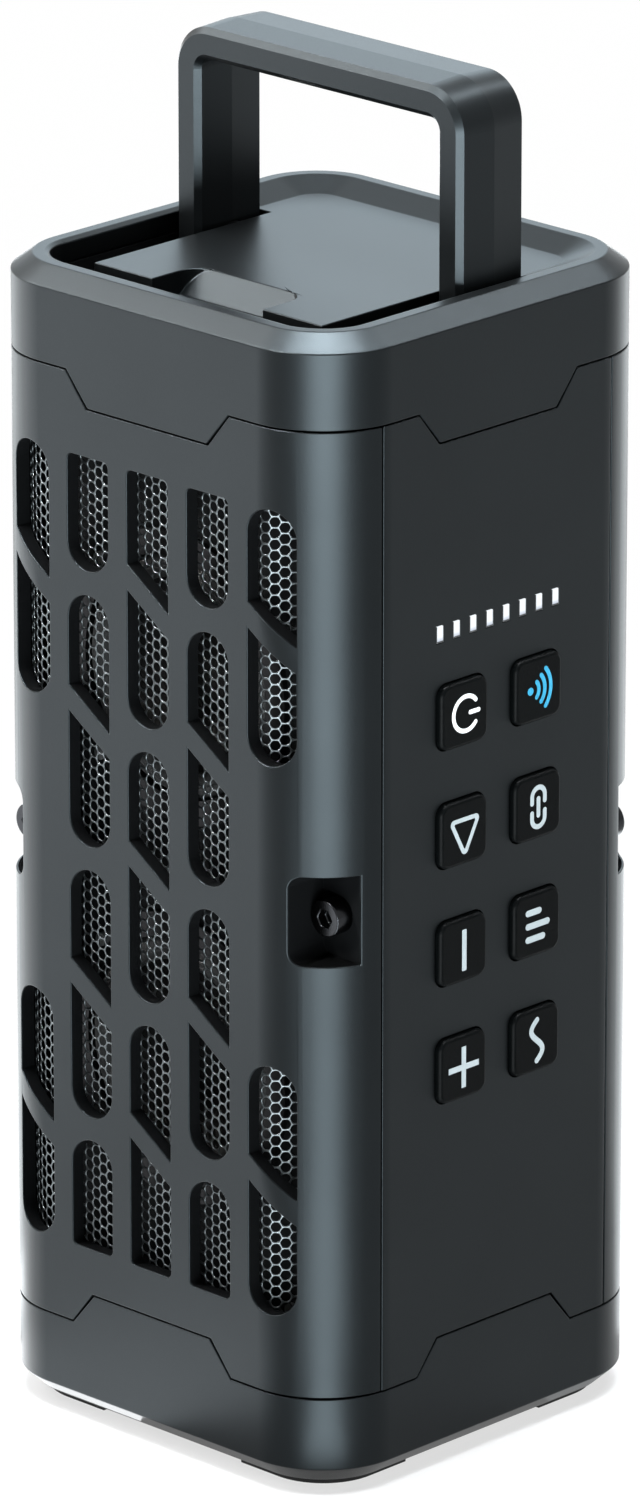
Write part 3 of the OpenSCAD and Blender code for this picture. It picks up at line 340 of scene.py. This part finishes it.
def choose(test):
    """Selects the vertices of the mesh in edit mode that pass a test on their place."""
    bpy.ops.mesh.select_all(action="DESELECT")
    bpy.ops.object.mode_set(mode="OBJECT")
    for vertex in bpy.context.object.data.vertices:
        vertex.select = test(vertex.co)
    bpy.ops.object.mode_set(mode="EDIT")


def roll_half(name, node, side):
    """Half of a node's rubber roll, up to its crest: side is 1 for the outer half, -1 for the inner."""
    low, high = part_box(node)
    fold = high.y - low.y
    ring = high.x - fold
    bpy.ops.object.select_all(action="DESELECT")
    bpy.ops.mesh.primitive_torus_add(
        major_radius=ring,
        minor_radius=fold - ROLL_T / 2,
        major_segments=ROLL_STEPS,
        minor_segments=FOLD_STEPS,
    )
    half = bpy.context.object
    half.name = name
    bpy.ops.object.mode_set(mode="EDIT")
    bpy.ops.mesh.select_mode(type="VERT")
    choose(lambda place: place.z < -HAIR or side * (place.xy.length - ring) < -HAIR)
    bpy.ops.mesh.delete(type="VERT")
    bpy.ops.object.mode_set(mode="OBJECT")
    wall = half.modifiers.new("Wall", "SOLIDIFY")
    wall.thickness = ROLL_T
    wall.offset = 0
    bpy.ops.object.modifier_apply(modifier=wall.name)
    bpy.ops.object.shade_smooth()
    half.rotation_euler.x = math.pi / 2
    half.location = (0, high.y, (low.z + high.z) / 2)
    bpy.ops.object.transform_apply(location=True, rotation=True)
    half.data.materials.append(black_rubber)
    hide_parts(node)
    return half


for driver in ("upper", "lower"):
    surround = "driver_surround_" + driver
    outer_half = roll_half("surround_outer_" + driver, surround, 1)
    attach(outer_half, "case")
    inner_half = roll_half("surround_inner_" + driver, surround, -1)
    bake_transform(inner_half)

# Passive radiators: weighted plates on rubber rolls, which move with the air in the box.
# Black rings clamp them to the back of the box.
radiator_black = black_plastic("radiator_plate", (0.008, 0.0085, 0.009), 0.4, 0.1)
dress(radiator_black, "radiator_plate_upper", "radiator_plate_lower", "radiator_rings")
dress(black_rubber, "radiator_surround_upper", "radiator_surround_lower")

# Circuit boards: green lacquered boards with copper runs under the lacquer, black chips and
# pale plugs. A flat ribbon joins them over the top of the box.
BOARD_FACE = 34.65 * MM
TRACK_PITCH = 1.4 * MM
WIRE_PITCH = 0.5 * MM
board = Finish("board_lacquer")
tracks = board.node("ShaderNodeTexWave", {"bands_direction": "Y"}, {
    "Vector": board.place,
    "Scale": 1 / (2 * math.pi * TRACK_PITCH),
    "Distortion": 6.0,
    "Detail Scale": 90.0,
})
on_top = abs(board.along(0)) > BOARD_FACE
lacquer = board.blend(tracks > 0.72, (0.012, 0.07, 0.03), (0.03, 0.13, 0.055))
board.shade({
    "Base Color": board.blend(on_top, lacquer, (0.014, 0.014, 0.015)),
    "Roughness": 0.32 + 0.12 * board.noise(2 * MM),
    "Normal": board.bump(tracks, 0.02 * MM),
})
dress(board.material, "main_board", "key_board")
dress(moulded_black, "key_switches")
dress(zinc, "board_screws")
dress(metal("socket_steel", (0.62, 0.63, 0.64), 0.24), "usb_socket")

ribbon = Finish("ribbon")
wires = ribbon.node("ShaderNodeTexWave", {"bands_direction": "Y"}, {
    "Vector": ribbon.place,
    "Scale": 1 / (2 * math.pi * WIRE_PITCH),
})
ribbon.shade({
    "Base Color": ribbon.blend(wires, (0.42, 0.42, 0.4), (0.66, 0.66, 0.63)),
    "Roughness": 0.4 + 0.1 * wires,
})
dress(ribbon.material, "key_ribbon")

# Level lights: clear teeth that carry white light from the lamps on the board to the panel's
# windows. Only their outer ends shine, inside a dark edge, and are dimmer and bluer at the foot.
LIGHT_H = 3.1 * MM
LIGHT_SKIN = 0.5 * MM
LIGHT_PITCH = 4.36 * MM
LIT_HALF = 0.77 * MM
LIT_FROM = 0.28
DIM_SHARE = 0.35
light_low, light_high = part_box("light_guide")
light_z = (light_low.z + light_high.z) / 2
lit = Finish("lit_guide")
rise = (lit.along(2) - (light_z - LIGHT_H / 2)) / (DIM_SHARE * LIGHT_H)
glow = lit.blend(rise, (0.30, 0.35, 0.47), (0.88, 0.93, 0.97))
outer_end = lit.along(0) > light_high.x - LIGHT_SKIN
step = lit.along(1) / LIGHT_PITCH
aside = abs(step.math("FRACT", step) - 0.5) * LIGHT_PITCH
window = outer_end * (aside < LIT_HALF) * (rise > LIT_FROM)
clouding = lit.noise(1.5 * MM)
lit.shade({
    "Base Color": lit.blend(clouding, (0.018, 0.019, 0.02), (0.022, 0.023, 0.024)),
    "Emission Color": lit.blend(window, (0.0, 0.0, 0.0), glow),
    "Emission Strength": 1.0,
    "Roughness": 0.2 + 0.1 * clouding,
})
dress(lit.material, "light_guide")
dress(black_plastic("lamp_body", (0.35, 0.34, 0.30), 0.4), "level_leds")

# Mesh: a stamped steel sheet behind each grille, painted grey. Round holes stand in upright
# columns, each half a pitch off its neighbour. The sheet is rolled round the left corner of its
# shell and folded back at the right one.
HOLE_PITCH = 2.12 * MM
HOLE_FLAT = 0.93 * MM
MESH_T = 0.28 * MM
MESH_HALF = 41.8 * MM
ROLL_AT = 27.8 * MM
FOLD_AT = 25.6 * MM
FOLD_R = 3.0 * MM
FOLD_TURN = math.radians(42)
FLAP_R = 30.0 * MM
MESH_COLUMN_PAIRS = 20
MESH_ROWS = 76
POCKET_EDGE = 30.4 * MM
POCKET_REACH = 12.3 * MM
HOLE_SHARE = 0.95
SEAM_GAP = 0.07 * MM


def repeat(piece, count, x, y):
    array = piece.modifiers.new("Repeat", "ARRAY")
    array.count = count
    array.use_relative_offset = False
    array.use_constant_offset = True
    array.constant_offset_displace = (x, y, 0)
    bpy.ops.object.modifier_apply(modifier=array.name)


def mesh_flat():
    """The flat sheet, centred, with its holes: x runs along the bend and y upwards."""
    cell_r = HOLE_PITCH / math.sqrt(3)
    bpy.ops.object.select_all(action="DESELECT")
    turn = (0, 0, math.pi / 2)
    bpy.ops.mesh.primitive_circle_add(vertices=6, radius=cell_r, fill_type="NGON", rotation=turn)
    bpy.ops.object.transform_apply(rotation=True)
    sheet = bpy.context.object
    bpy.ops.object.mode_set(mode="EDIT")
    bpy.ops.mesh.select_mode(type="VERT")
    bpy.ops.mesh.select_all(action="SELECT")
    bpy.ops.mesh.inset(thickness=HOLE_PITCH / 2 - HOLE_FLAT)
    bpy.ops.mesh.delete(type="ONLY_FACE")
    choose(lambda place: place.length < HOLE_SHARE * cell_r)
    corner_cut = HOLE_FLAT * (math.tan(math.pi / 6) - math.tan(math.pi / 12))
    bpy.ops.mesh.bevel(offset=corner_cut, affect="VERTICES", segments=1)
    bpy.ops.object.mode_set(mode="OBJECT")
    repeat(sheet, 2, 1.5 * cell_r, HOLE_PITCH / 2)
    repeat(sheet, MESH_COLUMN_PAIRS, 3 * cell_r, 0)
    repeat(sheet, MESH_ROWS, 0, HOLE_PITCH)
    bpy.ops.object.mode_set(mode="EDIT")
    bpy.ops.mesh.select_all(action="SELECT")
    bpy.ops.mesh.remove_doubles(threshold=SEAM_GAP)
    bpy.ops.object.mode_set(mode="OBJECT")
    middle = sum((Vector(corner) for corner in sheet.bound_box), Vector()) / 8
    sheet.data.transform(Matrix.Translation(-middle))
    bpy.ops.object.mode_set(mode="EDIT")
    choose(lambda place: abs(place.x) > POCKET_EDGE and abs(place.y) < POCKET_REACH)
    bpy.ops.mesh.delete(type="VERT")
    bpy.ops.object.mode_set(mode="OBJECT")
    return sheet


def bend(past, radius, turn, start=0.0):
    """Way across and back along an arc that leaves the front at a start angle, up to a turn."""
    end = min(start + past / radius, turn)
    across = radius * (math.sin(end) - math.sin(start))
    back = radius * (math.cos(start) - math.cos(end))
    return across, back


def wrap(place, middle_z):
    """A point of the flat sheet on the bent one."""
    if place.x < 0:
        past = max(0.0, -place.x - ROLL_AT)
        across, back = bend(past, MESH_HALF - ROLL_AT, math.pi / 2)
        return Vector((max(place.x, -ROLL_AT) - across, back - MESH_HALF, middle_z + place.y))
    past = max(0.0, place.x - FOLD_AT)
    across, back = bend(past, FOLD_R, FOLD_TURN)
    past = max(0.0, past - FOLD_R * FOLD_TURN)
    flap_across, flap_back = bend(past, FLAP_R, math.pi / 2, FOLD_TURN)
    x = min(place.x, FOLD_AT) + across + flap_across
    return Vector((x, back + flap_back - MESH_HALF, middle_z + place.y))


mesh_low, mesh_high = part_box("front_mesh")
mesh_mid_z = (mesh_low.z + mesh_high.z) / 2
front_sheet = mesh_flat()
front_sheet.name = "front_mesh_sheet"
for vertex in front_sheet.data.vertices:
    vertex.co = wrap(vertex.co, mesh_mid_z)
wall = front_sheet.modifiers.new("Sheet", "SOLIDIFY")
wall.thickness = MESH_T
wall.offset = -1
bpy.ops.object.modifier_apply(modifier=wall.name)
bpy.ops.object.shade_smooth()

sheet_steel = metal("sheet_steel", (0.083, 0.093, 0.097), 0.35, metallic=0.95)
front_sheet.data.materials.append(sheet_steel)
rear_sheet = front_sheet.copy()
rear_sheet.data = front_sheet.data.copy()
rear_sheet.name = "rear_mesh_sheet"
rear_sheet.data.transform(Matrix.Rotation(math.pi, 4, "Z"))
bpy.context.collection.objects.link(rear_sheet)
for sheet, node in ((front_sheet, "front_mesh"), (rear_sheet, "rear_mesh")):
    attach(sheet, "case")
    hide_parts(node)

# Shells: the two slotted halves of the case, front and back, in the same sprayed grey.
# Black socket-head screws in the corner pockets close them.
SCREW_EDGE = 0.3 * MM
# Below the outer skin, in the slots and pockets, the shells' coat gives way to painted near-black shade.
shell_coat_recess_shade = satin_coat("shell_coat_recess_shade", GREY_COAT, unshaded_mask=outer_skin_unshaded)
dress(shell_coat_recess_shade, "front_shell", "rear_shell")
soften(CASE_EDGE, "front_shell", "rear_shell")
black_oxide = metal("black_oxide", (0.022, 0.023, 0.025), 0.24)
dress(black_oxide, "shell_screws")
soften(SCREW_EDGE, "shell_screws")

# Side panels: flat covers between the shells. The right one carries the keys and lights, the
# left one the charging port behind a hinged rubber door.
PANEL_EDGE = 0.15 * MM
DOOR_EDGE = 0.3 * MM
dress(grey_coat, "control_panel", "port_panel")
soften(PANEL_EDGE, "control_panel", "port_panel")
dress(black_rubber, "port_door")
soften(DOOR_EDGE, "port_door")
dress(zinc, "door_pin")

# Keys: black moulded caps that stand proud of the panel, with a fine satin grain.
# Each carries a printed sign; the power and wireless signs are lit, and the other pale signs glow with
# painted light.
KEYS = ("power", "wireless", "play", "link", "minus", "mode", "plus", "bass")
KEY_EDGE = 0.25 * MM
key_black = black_plastic("key_black", (0.0010, 0.0013, 0.0014), 0.40, 0.03)
for key in KEYS:
    dress(key_black, "key_" + key)
    soften(KEY_EDGE, "key_" + key)

SIGN_T = 0.04 * MM
STROKE = 0.85 * MM
CAP_STEPS = 10


def arc(centre, radius, start, end, steps=36):
    """Points on a circle from one angle to another, in degrees, counted from glyph right."""
    angles = [math.radians(start + (end - start) * i / steps) for i in range(steps + 1)]
    return [Vector((centre[0] + radius * math.cos(a), centre[1] + radius * math.sin(a))) for a in angles]


def round_cap(tip, direction, half):
    """Half circle round the end of a stroke, from its right side to its left."""
    heading = math.degrees(math.atan2(direction.y, direction.x))
    return arc(tip, half, heading - 90, heading + 90, CAP_STEPS)[1:-1]


def stroke_outline(points, width=STROKE):
    """Closed outline of an open stroke with round ends."""
    points = [Vector(p) for p in points]
    half = width / 2
    left = []
    right = []
    for i, point in enumerate(points):
        ahead = (points[min(i + 1, len(points) - 1)] - points[max(i - 1, 0)]).normalized()
        normal = Vector((-ahead.y, ahead.x))
        left.append(point + half * normal)
        right.append(point - half * normal)
    end = round_cap(points[-1], points[-1] - points[-2], half)
    start = round_cap(points[0], points[0] - points[1], half)
    return right + end + left[::-1] + start


def rounded_polygon(corners, radius):
    """Closed outline of a convex polygon, drawn anticlockwise, with round corners."""
    corners = [Vector(c) for c in corners]
    outline = []
    for i, corner in enumerate(corners):
        before = (corners[i - 1] - corner).normalized()
        after = (corners[(i + 1) % len(corners)] - corner).normalized()
        half_angle = before.angle(after) / 2
        centre = corner + (before + after).normalized() * radius / math.sin(half_angle)
        turn = 180 - 2 * math.degrees(half_angle)
        first = math.degrees(math.atan2(before.x, -before.y))
        outline += arc(centre, radius, first, first + turn, CAP_STEPS)
    return outline


def sign_mesh(name, outlines):
    """Flat printed sign: closed outlines filled, holes left open, made a thin solid."""
    drawing = bpy.data.curves.new(name, "CURVE")
    drawing.dimensions = "2D"
    drawing.fill_mode = "BOTH"
    for outline in outlines:
        spline = drawing.splines.new("POLY")
        spline.points.add(len(outline) - 1)
        for point, place in zip(spline.points, outline):
            point.co = (place[0], place[1], 0, 1)
        spline.use_cyclic_u = True
    sign = bpy.data.objects.new(name, drawing)
    bpy.context.collection.objects.link(sign)
    bpy.ops.object.select_all(action="DESELECT")
    sign.select_set(True)
    bpy.context.view_layer.objects.active = sign
    bpy.ops.object.convert(target="MESH")
    return bpy.context.object


def print_sign(key, outlines, ink):
    """Prints a sign on a key. The signs are turned: their top points along +Y and their right down."""
    low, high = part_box("key_" + key)
    turn = Matrix(((0, 0, 1), (0, 1, 0), (-1, 0, 0))).to_4x4()
    centre = Vector((high.x, (low.y + high.y) / 2, (low.z + high.z) / 2))
    sign = sign_mesh("sign_" + key, outlines)
    sign.data.transform(Matrix.Translation(centre) @ turn)
    print_wall = sign.modifiers.new("Ink", "SOLIDIFY")
    print_wall.thickness = 2 * SIGN_T
    print_wall.offset = 0
    bpy.ops.object.modifier_apply(modifier=print_wall.name)
    bpy.ops.object.mode_set(mode="EDIT")
    bpy.ops.mesh.select_all(action="SELECT")
    bpy.ops.mesh.remove_doubles(threshold=WELD_GAP)
    bpy.ops.mesh.normals_make_consistent(inside=False)
    bpy.ops.object.mode_set(mode="OBJECT")
    sign.data.materials.append(ink)
    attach(sign, "key_" + key)


def ink(name, colour, glow=0.0):
    finish = Finish(name)
    specks = finish.noise(0.15 * MM)
    printed = finish.blend(specks, times(colour, 0.94), colour)
    finish.shade({
        "Base Color": printed,
        "Roughness": 0.4 + 0.1 * specks,
        "Emission Color": printed,
        "Emission Strength": glow,
    })
    return finish.material


# The pale signs have no light behind them: their emission is painted light that keeps them bright.
pale_ink_painted_glow = ink("pale_ink_painted_glow", (0.134, 0.156, 0.165), 2.0)
lit_white = ink("lit_white", (0.40, 0.42, 0.43), 1.5)
lit_blue = ink("lit_blue", (0.003, 0.135, 0.23), 1.2)

power_ring = arc((0, 0.2 * MM), 3.3 * MM, 90 + 40, 90 + 320)
power_bar = [(0, 1.3 * MM), (0, 3.5 * MM)]
print_sign("power", [stroke_outline(power_ring), stroke_outline(power_bar)], lit_white)

WAVE_BASE = (0, -2.3 * MM)
waves = [stroke_outline(arc(WAVE_BASE, r * MM, 48, 132)) for r in (2.2, 3.8, 5.4)]
print_sign("wireless", waves + [arc(WAVE_BASE, 0.75 * MM, 0, 350)], lit_blue)

play_corners = [(-2.95 * MM, -4.3 * MM), (5.2 * MM, 0), (-2.95 * MM, 4.3 * MM)]
inner_corners = [(-2.12 * MM, -2.92 * MM), (3.42 * MM, 0), (-2.12 * MM, 2.92 * MM)]
play_edge = rounded_polygon(play_corners, 0.9 * MM)
play_hole = rounded_polygon(inner_corners, 0.25 * MM)
print_sign("play", [play_edge, play_hole], pale_ink_painted_glow)

LINK_W = 0.95 * MM
LINK_R = 1.7 * MM
LINK_X = 2.1 * MM
link_end = (0.95 * MM, LINK_R)
half_link = [link_end] + arc((LINK_X, 0), LINK_R, 90, -90) + [(link_end[0], -LINK_R)]
other_link = [(-x, -y) for x, y in half_link]
link_bar = [(-1.6 * MM, 0), (1.6 * MM, 0)]
print_sign("link", [stroke_outline(s, LINK_W) for s in (half_link, other_link, link_bar)], pale_ink_painted_glow)

BAR_L = 4.0 * MM
BAR_W = 0.57 * MM
bar_corners = [(-BAR_L, -BAR_W), (BAR_L, -BAR_W), (BAR_L, BAR_W), (-BAR_L, BAR_W)]
print_sign("minus", [rounded_polygon(bar_corners, 0.2 * MM)], pale_ink_painted_glow)

LEVEL_W = 1.25 * MM
LEVELS = ((-2.6, 0.4), (0, 2.6), (2.6, 1.4))
levels = [stroke_outline([(x * MM, -2.6 * MM), (x * MM, top * MM)], LEVEL_W) for x, top in LEVELS]
print_sign("mode", levels, pale_ink_painted_glow)

upright = [(BAR_W, -BAR_L), (BAR_W, -BAR_W), (BAR_L, -BAR_W)]
quarter = [Matrix.Rotation(math.radians(90 * i), 2) for i in range(4)]
plus = [turn @ Vector(corner) for turn in quarter for corner in upright]
print_sign("plus", [plus], pale_ink_painted_glow)

SWING_L = 4.0 * MM
SWING_H = 1.5 * MM
SWING_W = 1.1 * MM
SWING_STEPS = 24
shares = [i / SWING_STEPS for i in range(-SWING_STEPS, SWING_STEPS + 1)]
swing = [(SWING_L * share, SWING_H * math.sin(math.pi * share)) for share in shares]
print_sign("bass", [stroke_outline(swing, SWING_W)], pale_ink_painted_glow)

# Handle: a bent strap of painted aluminium on two steel pins, held by friction washers in a
# black well under the deck. It folds forward into the channel.
handle_coat = satin_coat("handle_coat", GREY_COAT, 0.37)
dress(handle_coat, "handle")
dress(moulded_black, "handle_well", "handle_washers")
dress(zinc, "handle_pins")
dress(black_oxide, "well_screws", "cap_screws")

# Top cap: the rim and deck over the well, moulded and sprayed like the base cap, with a finger
# notch in front for lifting the handle.
dress(grey_coat, "top_cap")
soften(CASE_EDGE, "top_cap")

# Studio: a pale floor and soft lights. The key light stands at the front left, and a large light
# behind and a strip above line the deck, the handle and the rim. Cards on the floor mirror in
# the upright faces and draw the highlight down the corner.
MIDDLE = Vector((0, 0, 130 * MM))
TOP = Vector((0, 0, 230 * MM))


def direction(azimuth, elevation):
    """Unit vector from the object: azimuth 0 is in front, at -Y, and 90 at +X."""
    around = math.radians(azimuth)
    rise = math.radians(elevation)
    return Vector((math.sin(around) * math.cos(rise), -math.cos(around) * math.cos(rise), math.sin(rise)))


def lamp(name, place, turn, width, length, watts, colour):
    light = bpy.data.lights.new(name, "AREA")
    light.shape = "RECTANGLE"
    light.size = width
    light.size_y = length
    light.energy = watts
    light.color = colour
    holder = bpy.data.objects.new(name, light)
    holder.location = place
    holder.rotation_euler = turn
    holder.visible_camera = False
    bpy.context.collection.objects.link(holder)
    return light


def softbox(name, aim, azimuth, elevation, distance, width, height, watts, colour, spread=180):
    """Soft light that faces a point of the object. A grid on it narrows the spread."""
    away = direction(azimuth, elevation)
    turn = away.to_track_quat("Z", "Y").to_euler()
    light = lamp(name, aim + away * distance, turn, width, height, watts, colour)
    light.spread = math.radians(spread)


def floor_cards(name, start, azimuth, base, angle, colour, brightness):
    """Row of bright cards that lie on the floor, face up, and mirror in the upright faces.
    The row starts as wide as its base and opens by the angle. Each card has its own brightness."""
    for i, level in enumerate(brightness):
        near = CARD_ENDS[i]
        far = CARD_ENDS[i + 1]
        width = base + (near + far) * math.tan(math.radians(angle / 2))
        place = start + direction(azimuth, 0) * (near + far) / 2
        turn = (math.pi, 0, math.radians(azimuth))
        watts = level * math.pi * width * (far - near)
        lamp(name + str(i), place, turn, width, far - near, watts, colour)


WARM = (1.0, 0.98, 0.96)
FRESH = (0.93, 0.97, 1.0)
BLUISH = (0.66, 0.87, 1.0)
NARROW = 14
softbox(
    "key_light", MIDDLE, azimuth=-64, elevation=40, distance=0.88,
    width=0.5, height=0.5, watts=13.5, colour=WARM,
)
softbox(
    "fill_light", TOP, azimuth=-20, elevation=42, distance=0.8,
    width=0.25, height=0.25, watts=0.6, colour=WARM, spread=NARROW,
)
softbox(
    "high_light", TOP, azimuth=171, elevation=47, distance=0.9,
    width=0.2, height=0.2, watts=0.05, colour=FRESH, spread=NARROW,
)
softbox(
    "back_light", MIDDLE, azimuth=225, elevation=22, distance=1.6,
    width=1.2, height=0.6, watts=5.15, colour=BLUISH,
)
strip_place = TOP + Vector((0.1, 0.1, 0.9))
strip_turn = (0, 0, math.radians(45))
top_light = lamp("top_light", strip_place, strip_turn, width=1.1, length=0.2, watts=10.0, colour=FRESH)
top_light.spread = math.radians(60)

COOL = (0.9, 0.97, 1.0)
NEUTRAL = (0.96, 0.98, 1.0)
CARD_ENDS = (0.012, 0.06, 0.20, 0.54, 1.05, 2.1)
CARD_Z = 2 * MM
FACE_AT = 45 * MM
CORNER_AT = 40 * MM
FACE_BASE = 60 * MM
FRONT_ASIDE = 10 * MM
EVEN = (1.0, 1.0, 1.0, 1.0, 1.0)
corner_start = Vector((CORNER_AT, -CORNER_AT, CARD_Z))
front_start = Vector((FRONT_ASIDE, -FACE_AT, CARD_Z))
side_start = Vector((FACE_AT, 0, CARD_Z))
rear_start = Vector((0, FACE_AT, CARD_Z))
left_start = Vector((-FACE_AT, 0, CARD_Z))
rear_corner_start = Vector((-CORNER_AT, CORNER_AT, CARD_Z))
floor_cards("corner_card", corner_start, 46, 0.0, 36, COOL, (14.0, 13.0, 13.5, 7.0, 85.0))
floor_cards("front_card", front_start, -58, FACE_BASE, 40, NEUTRAL, (4.0, 2.6, 3.8, 5.0, 5.4))
floor_cards("side_card", side_start, 140, FACE_BASE, 40, COOL, (0.3, 0.3, 0.4, 0.5, 0.5))
floor_cards("rear_card", rear_start, 180, FACE_BASE, 30, COOL, times(EVEN, 2.5))
floor_cards("left_card", left_start, 270, FACE_BASE, 30, COOL, times(EVEN, 2.5))
floor_cards("rear_corner_card", rear_corner_start, 225, 0.0, 27, COOL, times(EVEN, 7.0))

FLOOR_SIZE = 12.0
CONTACT_SHADE = 0.3
CONTACT_REACH = 12 * MM
FLOOR_GREY = (0.5, 0.5, 0.5, 1.0)
SKY_LEVEL = 0.08


def seen_white(nodes):
    """1 for the rays that show the background: from the camera, or by gloss or glass."""
    camera_ray = nodes.node("ShaderNodeLightPath", output="Is Camera Ray")
    glossy_ray = nodes.node("ShaderNodeLightPath", output="Is Glossy Ray")
    clear_ray = nodes.node("ShaderNodeLightPath", output="Is Transmission Ray")
    total = camera_ray + glossy_ray + clear_ray
    return total.math("MINIMUM", total, 1.0)


bpy.ops.object.select_all(action="DESELECT")
bpy.ops.mesh.primitive_plane_add(size=FLOOR_SIZE)
floor = bpy.context.object
floor.name = "floor"
pale = Finish("pale_floor")
seen = seen_white(pale)
# Painted contact shadow: near the case the floor's white share falls, so the floor there darkens whether a
# lamp reaches it or not.
distance = off_case(pale)
distance = distance.math("MAXIMUM", distance, 0.0)
white_share = 1.0 - CONTACT_SHADE / (1.0 + distance / CONTACT_REACH)
pale.shade({"Base Color": FLOOR_GREY, "Roughness": 1.0, "Specular IOR Level": 0.0})
white = pale.node("ShaderNodeEmission", inputs={"Color": (1, 1, 1, 1), "Strength": 1.0})
lit_floor = Value(pale, pale.shader.outputs[0])
mixed = pale.node("ShaderNodeMixShader", inputs={0: white_share * seen, 1: lit_floor, 2: white})
pale.feed(pale.tree.nodes["Material Output"].inputs["Surface"], mixed)
floor.data.materials.append(pale.material)

world = bpy.data.worlds.new("studio")
world.use_nodes = True
bpy.context.scene.world = world
sky = Nodes(world.node_tree)
sky.feed(sky.tree.nodes["Background"].inputs["Color"], (1, 1, 1, 1))
sky.feed(sky.tree.nodes["Background"].inputs["Strength"], SKY_LEVEL + (1.0 - SKY_LEVEL) * seen_white(sky))

# Camera: at the photograph's angle on the near corner of the case, a little above it.
# It stands far off with a long lens, so the upright edges stay nearly parallel.
CAMERA_AIM = Vector((12.76, -13.18, 130.75)) * MM
CAMERA_AZIMUTH = 44.15
CAMERA_ELEVATION = 18.98
CAMERA_DISTANCE = 2.0152
view = bpy.data.cameras.new("view")
view.lens = 261.42
view.sensor_width = 36.0
camera = bpy.data.objects.new("view", view)
toward_camera = direction(CAMERA_AZIMUTH, CAMERA_ELEVATION)
camera.location = CAMERA_AIM + toward_camera * CAMERA_DISTANCE
camera.rotation_euler = toward_camera.to_track_quat("Z", "Y").to_euler()
bpy.context.collection.objects.link(camera)
bpy.context.scene.camera = camera
bpy.context.scene.view_settings.view_transform = "Standard"
